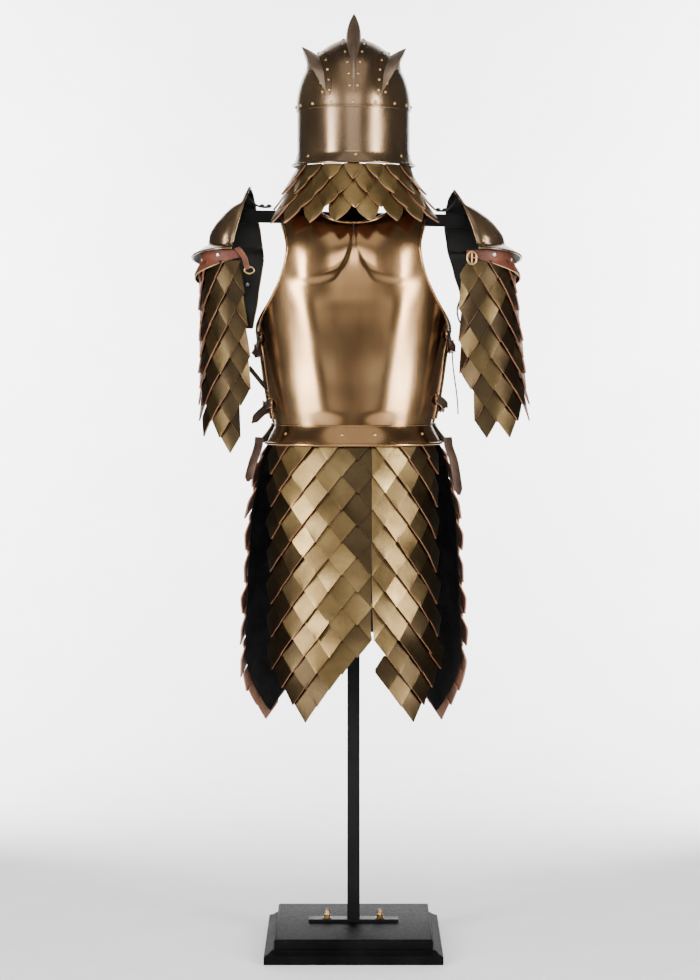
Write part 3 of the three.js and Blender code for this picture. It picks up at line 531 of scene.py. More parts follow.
# the skirt's scales take the shaded copy of the scale paint, painted shade
scaleSet = {"thick": 3.4, "slope": 5.4, "lift": -0.6, "crown": 0.25, "tilt": 4.4, "across": 8, "down": 10,
            "fullness": 0.08, "tuck": 0.2, "proud": 0.0, "swing": 0.03, "wide": 0.985, "long": 1.04, "flare": 0.0,
            "shade": plainShade, "face": "skirtFaceShaded", "flat": 0.85}


def panelCells(hem, cut=()):
    # the hem gives each column's last row, and cut says which columns keep only one half of a scale
    columns, cells = sorted(hem), []
    for i in columns:
        for j in range(abs(hem[i] + 1) % 2, hem[i], 2):
            if j > 0:
                cells.append((i, j, dict(cut).get(i, "full")))
            elif columns[0] < i < columns[-1]:
                cells.append((i, j, "full"))
    return cells


def fillSteps(cells, hem):
    # a half scale closes the notch where the hem drops three rows at once
    added = []
    for i in sorted(hem):
        for beside, word in ((i + 1, "right"), (i - 1, "left")):
            if beside in hem and hem[beside] - hem[i] == 3:
                added.append((i, hem[i] + 1, word))
    return cells + added


def unit(vector):
    return vector / max(np.linalg.norm(vector), 1e-9)


def slopeAt(point, u, v, step, level, core):
    # the surface's two directions across a span of twice the step, and its outward normal
    across = np.array(point(u + step, v)) - np.array(point(u - step, v))
    along = np.array(point(u, level + step)) - np.array(point(u, level - step))
    n = unit(np.cross(across, along))
    return across, along, (-n if np.dot(n, np.array(point(u, v)) - core) < 0 else n)


def scalePanel(name, cells, point, core, node, size):
    verts, faces, slots, tones = [], [], [], []
    across, down, shade = size["across"], size["down"], size["shade"]
    core = np.array(core, float)
    for i, j, kind in cells:
        # a scale's tone: random from scale to scale, plus painted shade away from the panel's bright diagonal, and
        # darker towards the bottom
        tone = shade["spread"] * random.random() ** 0.6 + shade["down"] * max(0, j - shade["from"])
        tone += shade["fade"] * max(0, abs(i - shade["at"] - shade["drift"] * j) - 1.2)
        tiltA, tiltB = random.uniform(-1, 1) * size["tilt"], random.uniform(-0.6, 0.8) * size["tilt"]
        swing = random.uniform(-1, 1) * size["swing"]
        reach = size["long"] * random.uniform(0.97, 1.05)
        start = max(-1.0, -float(j))
        low, high = {"full": (-1, 1), "left": (-1, 0), "right": (0, 1)}[kind]
        outer, inner = [], []
        # the plane that a stiff scale keeps, touching the body under its middle
        middle, row = np.array(point(i, max(j, 0.0))), max(j, 0.6)
        alongU, alongV, stiff = slopeAt(point, i, row, 0.5, row, core)
        for r in range(down + 1):
            b = start + (1 - start) * r / down
            wide = min(1, 1 + b + size["tuck"]) if b <= 0 else max((1 - b) * (1 + size["fullness"] * b), 0.035)
            for c in range(across + 1):
                a = low + (high - low) * c / across
                u, v = i + a * wide * size["wide"] + swing * max(b, 0), j + (b * reach if b > 0 else b)
                n = slopeAt(point, u, v, 0.01, max(v, 0.02), core)[2]
                here = np.array(point(u, v))
                here += (middle + alongU * (u - i) + alongV * (max(v, 0.0) - max(j, 0.0)) - here) * size["flat"]
                n = unit(n + (stiff - n) * size["flat"])
                rise = size["lift"] + size["slope"] * b + size["crown"] * (1 - a * a) * (0.5 + 0.5 * max(b, 0))
                rise += (tiltA + size["proud"]) * a * wide * (0.5 + 0.5 * b)
                rise += (tiltB + size["flare"]) * max(b, 0) ** 1.5
                outer.append(tuple(here + n * rise))
                inner.append(tuple(here + n * (rise - size["thick"])))
                # each scale is darker towards its root, painted shade under the scale that laps over it
                tones.append(min(1, max(0, tone + 0.12 * (1 - b) - 0.1)))
        base = len(verts)
        verts += outer + inner
        tones += tones[-len(outer):]
        own, kinds = shellFaces(across, down)
        faces += [tuple(base + k for k in f) for f in faceOut(outer + inner, own)]
        slots += [(0, 2, 1)[k] for k in kinds]
    coats = [faceMats[size["face"]], scaleEdgeMat, scaleBackMat]
    obj = makeObject(name, verts, faces, coats, slots, tones)
    return finishPiece(keepSharp(obj, 50), "scale_leather", node)


# Skirt: two near panels with a slit between, two far ones wrapped round the front
skirtSet = {"top": 1015, "pitch": 32, "nearSplay": 0.05, "core": (0, 0, 760)}
nearSkirt = [(1016, 169.2, 124.4, 166), (950, 175, 131, 170), (800, 179, 139, 171), (620, 182, 146, 170),
             (430, 184, 150, 168)]
farSkirt = [(1016, 182, 132.5), (950, 200, 140), (860, 217, 146), (620, 228, 153), (430, 226, 156)]
hemNearLeft = {-7: 14, -6: 15, -5: 16, -4: 17, -3: 16, -2: 15, -1: 14, 0: 13, 1: 12}
hemNearRight = {1: 12, 2: 15, 3: 16, 4: 17, 5: 16, 6: 15, 7: 14}
hemFar = {2: 15, 3: 16, 4: 17, 5: 18, 6: 17, 7: 16, 8: 15, 9: 14, 10: 13}


def nearPoint(shift, lean):
    def point(i, j):
        z = skirtSet["top"] - skirtSet["pitch"] * max(j, 0)
        half, depth, edge = (read(nearSkirt, z, c) for c in (1, 2, 3))
        limit = math.asin(min(1, edge / half))
        u = i / 8 + 0.03 * (1 - (i / 8) ** 2)
        x, y, z = oval(half, depth, limit * (u - skirtSet["nearSplay"] * math.sin(math.pi * u)), z)
        return (x + shift + lean * max(0, (790 - z) / 160) ** 1.4, y, z)
    return point


def farPoint(side):
    def point(i, j):
        z = skirtSet["top"] - skirtSet["pitch"] * max(j, 0)
        u = (i - 1) / 10
        f = u + 0.06 * math.sin(math.pi * u)
        x, y, z = oval(read(farSkirt, z, 1), read(farSkirt, z, 2), math.radians(87 - 81 * f), z)
        return (side * x, -y, z)
    return point


# each near panel is painted bright along a diagonal, a painted highlight, with painted shade darker to its sides, and
# darker towards the bottom
leftPaintedShade = {"spread": 0.62, "at": -3.7, "drift": 0.14, "fade": 0.3, "from": 12.5, "down": 0.2}
rightPaintedShade = {"spread": 0.62, "at": 2.3, "drift": -0.05, "fade": 0.3, "from": 8.5, "down": 0.08}
leftScale, rightScale = dict(scaleSet, proud=3.2, shade=leftPaintedShade), dict(scaleSet, proud=-3.2, shade=rightPaintedShade)
# the far skirt panels take the deeply shaded copy of the scale paint, painted shade
farScale = dict(scaleSet, face="sleeveFaceDeepShade")
leftCells, rightCells = panelCells(hemNearLeft, {1: "left"}), panelCells(hemNearRight, {1: "right"})
scalePanel("skirtNearLeft", leftCells, nearPoint(-0.4, 0), skirtSet["core"], "skirt_near_left", leftScale)
scalePanel("skirtNearRight", rightCells, nearPoint(0.4, 5), skirtSet["core"], "skirt_near_right", rightScale)
scalePanel("skirtFarLeft", panelCells(hemFar), farPoint(-1), skirtSet["core"], "skirt_far_left", farScale)
scalePanel("skirtFarRight", panelCells(hemFar), farPoint(1), skirtSet["core"], "skirt_far_right", farScale)
print("stage: skirt scales made")

# Aventail: shorter petals hung from the helmet's rim, spreading over the shoulders
aventailSet = {"top": 1558.2, "pitch": 27.8, "topHalf": 119.4, "bottomHalf": 168, "columnAngle": 10.1, "fall": 113,
               "core": (0, 0, 1500)}
hemAventail = {i: (3 if i % 2 == 0 else 4) for i in range(-8, 9)}


def aventailPoint(i, j):
    size = aventailSet
    drop = max(j, 0) * size["pitch"]
    share = drop / size["fall"]
    half = size["topHalf"] + (size["bottomHalf"] - size["topHalf"]) * share ** 1.15
    angle = math.radians(size["columnAngle"] * i)
    return (half * math.sin(angle), -half * (1.14 - 0.14 * share) * math.cos(angle), size["top"] - drop)


# the aventail takes the lit copy of the scale paint, painted light
aventailScale = dict(scaleSet, tilt=4.2, thick=2.8, slope=5.0, tuck=0.6, fullness=0.75, wide=0.86, long=1.16,
                     swing=0.22, crown=1.6, flare=3.0, shade=dict(plainShade, spread=0.6), face="scaleFaceLit", flat=0.35)
scalePanel("aventailScales", panelCells(hemAventail), aventailPoint, aventailSet["core"], "aventail", aventailScale)

# Sleeves: the same petals hung from the pauldrons' brims round each arm
armSet = {
    "left": {"side": -1, "lean": 0.0, "fold": -7,
             "cup": [(1519, 206, 4, 8), (1502, 213, 5, 28), (1489, 217, 8, 37), (1482, 219, 20, 42),
                     (1471, 221.5, 31, 47), (1458, 224.5, 40, 53), (1444, 229, 47, 57), (1425, 234, 52.5, 61),
                     (1405, 238, 51, 64)],
             "wing": [(1517, 205, 209, 10), (1503, 201, 217, 28), (1481, 197, 226, 44), (1470, 196, 230, 50),
                      (1430, 188, 252, 60), (1380, 182, 280, 66), (1297, 194, 262, 66), (1239, 204, 222, 62)],
             "hem": {-7: 6, -6: 9, -5: 12, -4: 11, -3: 10, -2: 11, -1: 10, 0: 9, 1: 8, 2: 7, 3: 6, 4: 5}},
    "right": {"side": 1, "lean": 0.1, "fold": -8,
              "cup": [(1513, 200, 4, 8), (1496, 211, 5, 28), (1484, 217, 8, 36), (1477, 220, 20, 42),
                      (1466, 224, 33, 49), (1453, 229.5, 44, 54), (1440, 234.5, 51, 58), (1422, 240, 58, 62),
                      (1405, 245, 57, 64)],
              "wing": [(1511, 198, 203, 10), (1493, 190, 214, 28), (1476, 187, 224, 42), (1444, 184, 252, 58),
                       (1400, 190, 280, 66), (1350, 204, 290, 68), (1310, 216, 262, 66), (1278, 222, 232, 62)],
              "hem": {-8: 7, -7: 8, -6: 11, -5: 10, -4: 11, -3: 10, -2: 9, -1: 10, 0: 9, 1: 8, 2: 7, 3: 6, 4: 5}},
}
brimSet = {"reach": 33, "depth": 30, "nearDrop": 9, "farDrop": 44, "from": 1405}
sleeveSet = {"pitch": 31.5, "top": 1371, "share": 0.5}


def armRing(arm, share, angle, z):
    _, edge, reach, half = min(arm["cup"])
    return (arm["side"] * (edge + (reach + brimSet["reach"] * share) * math.cos(angle)),
            (half + brimSet["depth"] * share) * math.sin(angle), z)


def brimHeight(share, angle):
    swing = brimSet["nearDrop"] + (brimSet["farDrop"] - brimSet["nearDrop"]) * (1 + math.sin(angle)) / 2
    return brimSet["from"] - 0.3 - swing * share


def sleevePoint(arm):
    def point(i, j):
        drop = max(j, 0) * sleeveSet["pitch"]
        angle = math.radians(i / 7 * (104 + 16 * min(1, drop / 190)) if i < 0 else i / 5 * 74)
        x, y, z = armRing(arm, sleeveSet["share"], angle, sleeveSet["top"] - drop)
        return (x + arm["side"] * arm["lean"] * drop, y, z)
    return point


# the sleeves take the deeply shaded copy of the scale paint, painted shade
sleeveScale = dict(scaleSet, tilt=2.0, proud=-3.2, face="sleeveFaceDeepShade", flat=0.7)
for word, arm in armSet.items():
    hang = sleevePoint(arm)
    middle = hang(0, 5)
    arm["core"] = (middle[0] - arm["side"] * 50, 0, middle[2])
    cells = fillSteps(panelCells(arm["hem"], {arm["fold"]: "right"}), arm["hem"])
    scalePanel("sleeve" + word.title(), cells, hang, arm["core"], "sleeve_" + word, sleeveScale)
print("stage: sleeve and neck scales made")

# Lace: a thin black cord hung from the upper right buckle, its end free
laceSet = {"radius": 1.4, "length": 0.125}
laceRoute = [(198.3, 21.0, 1189.4), (198.3, 21.0, 1185), (198.6, 20.8, 1178), (199.2, 20.4, 1169), (200.1, 19.9, 1159),
             (201.3, 19.3, 1149), (202.7, 18.7, 1139), (204.1, 18.2, 1129), (205.5, 17.9, 1119), (206.8, 17.8, 1109),
             (207.9, 17.9, 1099), (208.8, 18.2, 1090), (209.4, 18.5, 1081), (209.7, 18.8, 1073), (209.8, 19.0, 1066)]


def hangLace(size, route):
    curve = bpy.data.curves.new("laceRight", "CURVE")
    curve.dimensions = "3D"
    spline = curve.splines.new("POLY")
    spline.points.add(len(route) - 1)
    for point, (x, y, z) in zip(spline.points, route):
        point.co = (x * mm, y * mm, z * mm, 1)
    curve.bevel_depth = size["radius"] * mm
    curve.bevel_resolution = 3
    curve.use_fill_caps = True
    curve.materials.append(blackMat)
    obj = linkNew("laceRight", curve)
    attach(obj, "root")
    finishPiece(obj, "black_leather", "lace_right")


hangLace(laceSet, laceRoute)

# Torso plates, the flanges at the waist and their rims
torsoTable = [(1048, 157, 155.5, 112), (1075, 164, 162.5, 114), (1120, 172, 170, 118), (1184, 181, 179, 124),
              (1240, 189, 187, 131), (1268, 193, 178, 134), (1300, 195, 160, 137), (1345, 194, 140, 139),
              (1393, 188, 130, 134), (1425, 178, 133, 124), (1457, 166, 141, 103), (1490, 150, 143, 60)]
plateSet = {"thick": 2.0, "waist": 1048.3, "farGrow": 7, "columns": 96, "rows": 84, "rim": 2.6, "rivet": 3.2,
            "rivetHeight": 2.0, "core": (0, 0, 1240)}
flangeTable = [
    {"name": "flangeBackPlate", "node": "flange_back", "rows": [(1010, 175, 131), (1048, 156.5, 112.5)], "span": 85,
     "side": 1, "rivets": (-0.62, -0.075, 0.15, 0.63)},
    {"name": "flangeFrontPlate", "node": "flange_front", "rows": [(1010, 189, 140), (1048, 164, 120)], "span": 88,
     "side": -1, "rivets": (-0.6, -0.2, 0.2, 0.6)},
]
flangeSet = {"columns": 72, "core": (0, 0, 1029), "hem": 3.0, "waist": 1.4}
bladeEdge = [(0, 1396), (7, 1378), (15, 1359), (27, 1343), (42, 1332), (87, 1322), (130, 1334), (200, 1380)]
creaseLine = [(1048, 46), (1120, 60), (1200, 76), (1300, 94), (1330, 98)]
reliefSet = {"blade": 5.2, "edge": 29, "leftShare": 0.6, "rightShare": 0.34, "merge": 46, "fade": 66, "crease": 4.2,
             "spread": 27, "groove": 2.4}


def topEdge(u):
    s = abs(u) / 0.48
    return 1444 + 38 * s ** 2.4 if s < 1 else 1482 - 12 * ((abs(u) - 0.48) / 0.52) ** 2


def hill(value, centre, spread):
    return math.exp(-((value - centre) / spread) ** 2)


def softStep(value):
    value = min(1, max(0, value))
    return value * value * (3 - 2 * value)


def bladeRelief(x, z):
    # shoulder blades ending in a crisp curved edge, the spine's groove, and a long crease down each side
    size = reliefSet
    side = abs(x)
    over = z - readSmooth(bladeEdge, side, 1)
    blade = size["blade"] * softStep((over + 5) / size["edge"]) * math.exp(-(max(0, over - 12) / size["fade"]) ** 2)
    share = size["rightShare"] + (size["leftShare"] - size["rightShare"]) * softStep((10 - x) / 20)
    blade *= (1 - softStep((side - 90) / 50)) * (share + (1 - share) * softStep(side / size["merge"]))
    blade *= 1 - 0.8 * hill(x, 0, 12)
    groove = size["groove"] * hill(x, 0, 3.2 + 0.05 * max(0, z - 1386)) * softStep((z - 1382) / 42)
    down = softStep((1335 - z) / 60) * softStep((z - 1046) / 30)
    crease = size["crease"] * hill(side, read(creaseLine, z, 1), size["spread"]) * down
    return blade - groove + crease


def heightShare(u, z):
    return (z - plateSet["waist"]) / (topEdge(u) - plateSet["waist"])


def platePoint(far):
    def point(u, v):
        z = plateSet["waist"] + (topEdge(u) - plateSet["waist"]) * v
        grow = plateSet["farGrow"] if far else 0
        width, cut, depth = (readSmooth(torsoTable, z, c) for c in (1, 2, 3))
        limit = math.asin((min(cut, width - 0.2) / width) ** 1.1)
        x, y, _ = oval(width + grow, depth + grow, u * limit, z)
        if far:
            return (x, -y + 4 * hill(z, 1330, 60) * hill(x, 0, 70), z)
        return (x, y - bladeRelief(x, z), z)
    return point


def dressPlate(name, node, far, size):
    point = platePoint(far)
    plate = shell(name, size["columns"], size["rows"], point, size["core"], size["thick"], bronzeSheet)
    finishPiece(plate, "bronze", node)
    path = upPath(-1, 0.02, 1, 34) + acrossPath(1, 90, 1)[1:] + upPath(1, 1, 0.02, 34)[1:]
    edgePipe(name + "Rim", point, path, size["core"], size["rim"], 0.4, bronzeMat)


# a thin dark line laid along the bottom of the spine's groove, painted shade where the groove falls dark
groove = [(0, platePoint(False)(0, heightShare(0, z))[1] + 0.35, z) for z in np.linspace(1441, 1386, 24)]
pipe("spineGrooveShadeLine", groove, lambda t: 1.3 - 0.9 * t, plateBackMat, "bronze", 8)
dressPlate("backPlate", "back_plate", False, plateSet)
dressPlate("breastPlate", "breast_plate", True, plateSet)


def dressFlange(row, size, plate):
    name, core, rows = row["name"], size["core"], row["rows"]

    def point(u, v):
        z = rows[1][0] + (rows[0][0] - rows[1][0]) * v
        x, y, _ = oval(read(rows, z, 1), read(rows, z, 2), math.radians(row["span"]) * u, z)
        return (x, row["side"] * y, z)
    finishPiece(shell(name, size["columns"], 10, point, core, plate["thick"], bronzeSheet), "bronze", row["node"])
    edgePipe(name + "Hem", point, acrossPath(1, 90, 1), core, size["hem"], 0.6, bronzeMat)
    edgePipe(name + "Waist", point, acrossPath(1, 90, 0.03), core, size["waist"], 0.2, bronzeMat, 8)
    studsOn(name + "Rivets", point, [(u, 0.46) for u in row["rivets"]], core, 0, plate["rivet"],
            plate["rivetHeight"], brassMat)


for row in flangeTable:
    dressFlange(row, flangeSet, plateSet)
print("stage: torso plates made")


# Helmet: a dome lapped over a wall with the face left open, a flared rim and three bladed fins
helmetSet = {"top": 1813, "lap": 1671, "lapEdge": 1667.5, "band": 1580, "rim": 1560, "half": 114, "wallHalf": 112.5,
             "rimHalf": 121.5, "ratio": 1.14, "thick": 2.0, "span": 125, "core": (0, 0, 1620), "columns": 120,
             "arc": 32, "rivet": 3.7, "rivetHeight": 2.6, "bandRivets": (-104, -51, 2, 55, 104),
             "lapRivets": (-110, -88, -66, -45, -22, 0, 22, 45, 66, 88, 110)}
finTable = [
    {"name": "finCenter", "node": "fin_center", "start": (0, -128), "end": (0, 4), "tip": (1, -40, 1859), "half": 14},
    {"name": "finLeft", "node": "fin_left", "start": (-53, -114), "end": (-89, 2), "tip": (-102, -38, 1794),
     "half": 12},
    {"name": "finRight", "node": "fin_right", "start": (54, -113.5), "end": (89, 2), "tip": (104, -38, 1791),
     "half": 12},
]
finSet = {"stations": 34, "side": 7, "lift": 1.1, "tipAt": 0.68, "belly": 2.6, "strip": 12.5, "stripThick": 1.4,
          "thin": 1.4, "late": 2.4, "rivet": 2.7, "rivetHeight": 2.4, "rivetsAt": (0.13, 0.26, 0.39, 0.53, 0.68, 0.84)}


def helmetRing(half, angle, z):
    return (half * math.sin(angle), -half * helmetSet["ratio"] * math.cos(angle), z)


def buildDome(size):
    # the upper skull, spun round and a little deeper than wide, with the lap at its foot and its inside
    half, thick, arc = size["half"], size["thick"], size["arc"]
    rise = size["top"] - size["lap"]
    turns = [math.pi / 2 * (k + 0.15) / (arc + 0.15) for k in range(arc + 1)]
    outline = [(half * math.sin(a), size["lap"] + rise * math.cos(a)) for a in turns]
    outline += [(half + 0.3, size["lap"] - 1), (half + 0.3, size["lapEdge"] + 0.8), (half - 0.2, size["lapEdge"]),
                (half - thick, size["lapEdge"] + 0.3)]
    outline += [((half - thick) * math.sin(a), size["lap"] + (rise - thick) * math.cos(a)) for a in reversed(turns)]
    columns, count = size["columns"], len(outline)
    verts = [helmetRing(r, 2 * math.pi * t / columns, z) for t in range(columns) for r, z in outline]
    faces, slots = [], []
    for t in range(columns):
        near, far = t * count, (t + 1) % columns * count
        faces += [(near + k, near + k + 1, far + k + 1, far + k) for k in range(count - 1)]
        slots += [1 if k > arc + 4 else 0 for k in range(count - 1)]
    faces += [tuple(t * count for t in range(columns)), tuple(t * count + count - 1 for t in reversed(range(columns)))]
    dome = makeObject("helmetDome", verts, faceOut(verts, faces), agedSheet[:2], slots + [0, 1])
    finishPiece(keepSharp(dome, 30), "bronze", "helmet_dome")


def ringRivets(name, angles, half, z, size):
    spots = [helmetRing(half, math.radians(angle), z) for angle in angles]
    places = [(spot, (spot[0], spot[1] / size["ratio"] ** 2, 0)) for spot in spots]
    rivets(name, places, size["rivet"], size["rivetHeight"], brassMat)


def buildHelmetWall(size):
    span, wall = math.radians(size["span"]), size["wallHalf"]
    low, high = size["band"] + 1.5, size["lap"] + 2

    def side(u, v):
        return helmetRing(wall - 0.6, u * span, low + (high - low) * v)

    def rim(u, v):
        z = size["rim"] + (size["band"] + 3 - size["rim"]) * v
        flare = wall + (size["rimHalf"] - wall) * max(0, 1 - v) ** 1.6
        return helmetRing(flare + 0.8, u * span, z)
    for name, node, rows, surface in (("helmetWall", "helmet_wall", 24, side), ("helmetRim", "helmet_rim", 12, rim)):
        finishPiece(shell(name, size["columns"], rows, surface, size["core"], size["thick"], agedSheet), "bronze", node)
    hem = [helmetRing(size["rimHalf"] + 1.2, u * span, size["rim"] + 1.2) for u in np.linspace(-1, 1, 100)]
    pipe("helmetRimHem", hem, 1.7, agedMat, "bronze")
    for sign, word in ((-1, "Left"), (1, "Right")):
        edge = [helmetRing(wall + (0.6 if z > size["band"] + 4 else 3.0), sign * span, z)
                for z in np.linspace(size["rim"] + 3, size["lap"] - 6, 20)]
        pipe("helmetFaceEdge" + word, edge, 2.0, agedMat, "bronze", 8)
    ringRivets("helmetLapRivets", size["lapRivets"], size["half"], size["lap"] + 6, size)
    ringRivets("helmetBandRivets", size["bandRivets"], wall + 1.8, size["band"] - 4.5, size)


def skullPoint(spot, lift):
    # a point drawn in to the skull's own surface, then raised along its normal
    axes = np.array([helmetSet["half"], helmetSet["half"] * helmetSet["ratio"], helmetSet["top"] - helmetSet["lap"]])
    centre = np.array([0, 0, helmetSet["lap"]])
    away = (spot - centre) / axes
    away /= np.linalg.norm(away)
    normal = away / axes
    normal /= np.linalg.norm(normal)
    return centre + away * axes + normal * lift, normal


def onDome(plan, grow):
    # the dome's height over a place in plan
    half = helmetSet["half"] + grow
    share = (plan[0] / half) ** 2 + (plan[1] / (half * helmetSet["ratio"])) ** 2
    rise = (helmetSet["top"] + grow - helmetSet["lap"]) * math.sqrt(max(0.0, 1 - share))
    return np.array([plan[0], plan[1], helmetSet["lap"] + rise])


def finFrame(fin, t):
    # where a fin stands at t, the direction across it and half its thickness there
    start, end = np.array(fin["start"], float), np.array(fin["end"], float)
    across = np.array([start[1] - end[1], end[0] - start[0]])
    foot = start + (end - start) * (1 - math.cos(t * math.pi / 2))
    thick = finSet["thin"] + fin["half"] * math.sin(math.pi * t ** finSet["late"])
    return foot, across / np.linalg.norm(across), thick


def finRidge(fin, t, base, size):
    start, end = onDome(fin["start"], size["lift"]), onDome(fin["end"], size["lift"])
    tip = np.array(fin["tip"], float)
    if t < size["tipAt"]:
        share = t / size["tipAt"]
        ridge, bulge = start + (tip - start) * share, 14 * math.sin(math.pi * share)
    else:
        share = (t - size["tipAt"]) / (1 - size["tipAt"])
        ridge, bulge = tip + (end - tip) * share, -3 * math.sin(math.pi * share)
    out = base - np.array([0, 0, helmetSet["lap"]])
    return ridge + out / np.linalg.norm(out) * bulge


def stripFrame(fin, t, side):
    # the foot of one side of a fin, and the direction along the skull away from it
    foot, across, thick = finFrame(fin, t)
    base, normal = skullPoint(onDome(foot, 0), 0)
    away = np.array([across[0], across[1], 0]) * side
    away -= normal * np.dot(away, normal)
    return base, away / np.linalg.norm(away), thick


def buildFin(fin, size):
    verts, sides = [], size["side"]
    stations = [0.02 + 0.96 * k / size["stations"] for k in range(size["stations"] + 1)]
    stations = sorted(stations + [size["tipAt"]])
    for t in stations:
        foot, across, thick = finFrame(fin, t)
        base = onDome(foot, size["lift"])
        ridge = finRidge(fin, t, base, size)
        flat = np.array([across[0], across[1], 0])
        for k in range(-sides, sides + 1):
            s = 1 - abs(k) / sides
            wide = thick * (1 - s ** size["belly"]) * math.copysign(1, k)
            verts.append(tuple(base + (ridge - base) * s + flat * wide if s else onDome(foot + across * wide, 0.2)))
    faces = faceOut(verts, loftFaces(len(stations), 2 * sides + 1))
    finishPiece(keepSharp(makeObject(fin["name"], verts, faces, [finMat]), 32), "fin_metal", fin["node"])
    places, strips = [], []
    for side in (-1, 1):
        rows = []
        for t in np.linspace(0.05, 0.96, 40):
            base, away, thick = stripFrame(fin, t, side)
            strip = size["strip"] * min(1, 0.35 + t / 0.3)
            near, far = base + away * max(0.4, thick - 2.5), base + away * (thick + strip)
            for spot, lift in ((near, 0.05), (near, size["stripThick"]), (far, size["stripThick"]), (far, 0.05)):
                rows.append(tuple(skullPoint(spot, lift)[0]))
        strips.append((rows, faceOut(rows, loftFaces(len(rows) // 4, 4))))
        for t in size["rivetsAt"]:
            base, away, thick = stripFrame(fin, t, side)
            places.append(skullPoint(base + away * (thick + size["strip"] * 0.5), size["stripThick"]))
    finishPiece(keepSharp(makeObject(fin["name"] + "Strips", *gather(strips), [agedMat]), 50), "bronze")
    rivets(fin["name"] + "Rivets", places, size["rivet"], size["rivetHeight"], brassMat)


buildDome(helmetSet)
buildHelmetWall(helmetSet)
for fin in finTable:
    buildFin(fin, finSet)
print("stage: helmet made")

# Pauldrons: a cup, a flared brim and an inner wing for each arm, with a russet band under the brim
pauldronSet = {"thick": 2.0, "rivet": 3.6, "rivetHeight": 2.0, "low": 1405, "rivetsAt": (-0.84, 0.1, 0.84)}
bandSet = {"thick": 2.6, "share": 0.42, "from": -108, "to": 76, "width": 14, "swell": 44,
           "studs": (0.24, 0.47, 0.74), "holes": (0.035, 0.085, 0.135)}


def cupPoint(arm):
    rows = arm["cup"]
    top, low = rows[0][0], rows[-1][0]

    def point(u, v):
        z = low + (top - low) * v
        angle = math.pi / 2 * u
        edge, reach, half = (readSmooth(rows, z, c) for c in (1, 2, 3))
        return (arm["side"] * (edge + reach * math.cos(angle)), half * math.sin(angle), z)
    return point


def brimPoint(arm):
    def point(u, v):
        angle = math.pi / 2 * u
        x, y, _ = armRing(arm, v, angle, 0)
        return (x, y, brimHeight(v, angle) + 1.5 * math.sin(math.pi * v))
    return point


def cupDepth(arm, z, x):
    edge, reach, half = (read(arm["cup"], max(z, pauldronSet["low"]), c) for c in (1, 2, 3))
    share = min(1, max(0, (x - edge) / reach))
    return half * math.sqrt(1 - share * share)


def wingPoint(arm):
    rows = arm["wing"]

    def point(u, v):
        z = rows[0][0] + (rows[-1][0] - rows[0][0]) * v
        inner, outer, far = (read(rows, z, c) for c in (1, 2, 3))
        across = max(0, (u + 1) / 2)
        x = inner + (outer - inner) * across
        if z > pauldronSet["low"] - 12:
            y = min(far, cupDepth(arm, z, x) - pauldronSet["thick"] - 2.7)
        else:
            y = far - 22 * across ** 2.5
        return (arm["side"] * x, y, z)
    return point


def armBandPoint(arm):
    def point(u, v):
        turn = (u + 1) / 2
        angle = math.radians(bandSet["from"] + (bandSet["to"] - bandSet["from"]) * turn)
        top = brimHeight(sleeveSet["share"], angle) - 8.5
        z = top - (bandSet["width"] + bandSet["swell"] * max(0, math.sin(math.pi / 2 * turn)) ** 1.3) * v
        below = max(0, sleeveSet["top"] - z)
        x, y, _ = armRing(arm, bandSet["share"], angle, z)
        grow = 2.4 + min(12, 0.5 * below)
        return (x + arm["side"] * (grow * math.cos(angle) + arm["lean"] * below), y + grow * math.sin(angle), z)
    return point


def dressArm(word, arm, size, belt):
    label = word.title()
    core, wingCore = (arm["side"] * 228, 0, 1345), (arm["side"] * 228, 0, 1350)
    cup, brim, wing, strap = cupPoint(arm), brimPoint(arm), wingPoint(arm), armBandPoint(arm)
    finishPiece(shell("pauldron" + label, 64, 40, cup, core, size["thick"], agedSheet), "bronze", "pauldron_" + word)
    finishPiece(shell("brim" + label, 64, 10, brim, core, size["thick"], agedSheet), "bronze", "brim_" + word)
    edgePipe("brimEdge" + label, brim, acrossPath(1, 70, 1), core, 2.2, -0.6, agedMat)
    edgePipe("cupEdge" + label, cup, upPath(-1, 0.0, 1, 24) + upPath(1, 1, 0.0, 24), core, 1.9, -0.8, agedMat)
    edgePipe("cupFold" + label, cup, acrossPath(0.98, 60, 0), core, 1.5, -0.4, agedMat)
    wingCoats = [plateBackMat, plateBackMat, agedMat]
    finishPiece(shell("wing" + label, 20, 40, wing, wingCore, size["thick"], wingCoats), "bronze", "wing_" + word)
    around = upPath(-1, 0.01, 0.98, 50) + acrossPath(0.98, 14, 1) + upPath(1, 0.98, 0.45, 24)
    edgePipe("wingEdge" + label, wing, around, wingCore, 2.0, -1.0, agedMat)
    spots = [(u, 0.06) for u in size["rivetsAt"]]
    studsOn("pauldronRivets" + label, cup, spots, core, 0.2, size["rivet"], size["rivetHeight"], brassMat)
    coats = [russetMat, darkMat, paleMat]
    wrap = shell("armBand" + label, 60, 8, strap, core, belt["thick"], coats)
    finishPiece(wrap, "russet_leather", "arm_band_" + word)
    spots = [(2 * turn - 1, 0.3) for turn in belt["studs"]]
    studsOn("armBandRivets" + label, strap, spots, core, 0.4, 3.8, 1.8, silverMat)
    # holes along the band for its buckle's tongue, each a dark dimple whose darkness is painted shade
    spots = [(2 * turn - 1, 0.5) for turn in belt["holes"]]
    studsOn("armBandHoleShade" + label, strap, spots, core, -0.2, 1.5, 0.4, plateBackMat, "black_leather")


for word, arm in armSet.items():
    dressArm(word, arm, pauldronSet, bandSet)

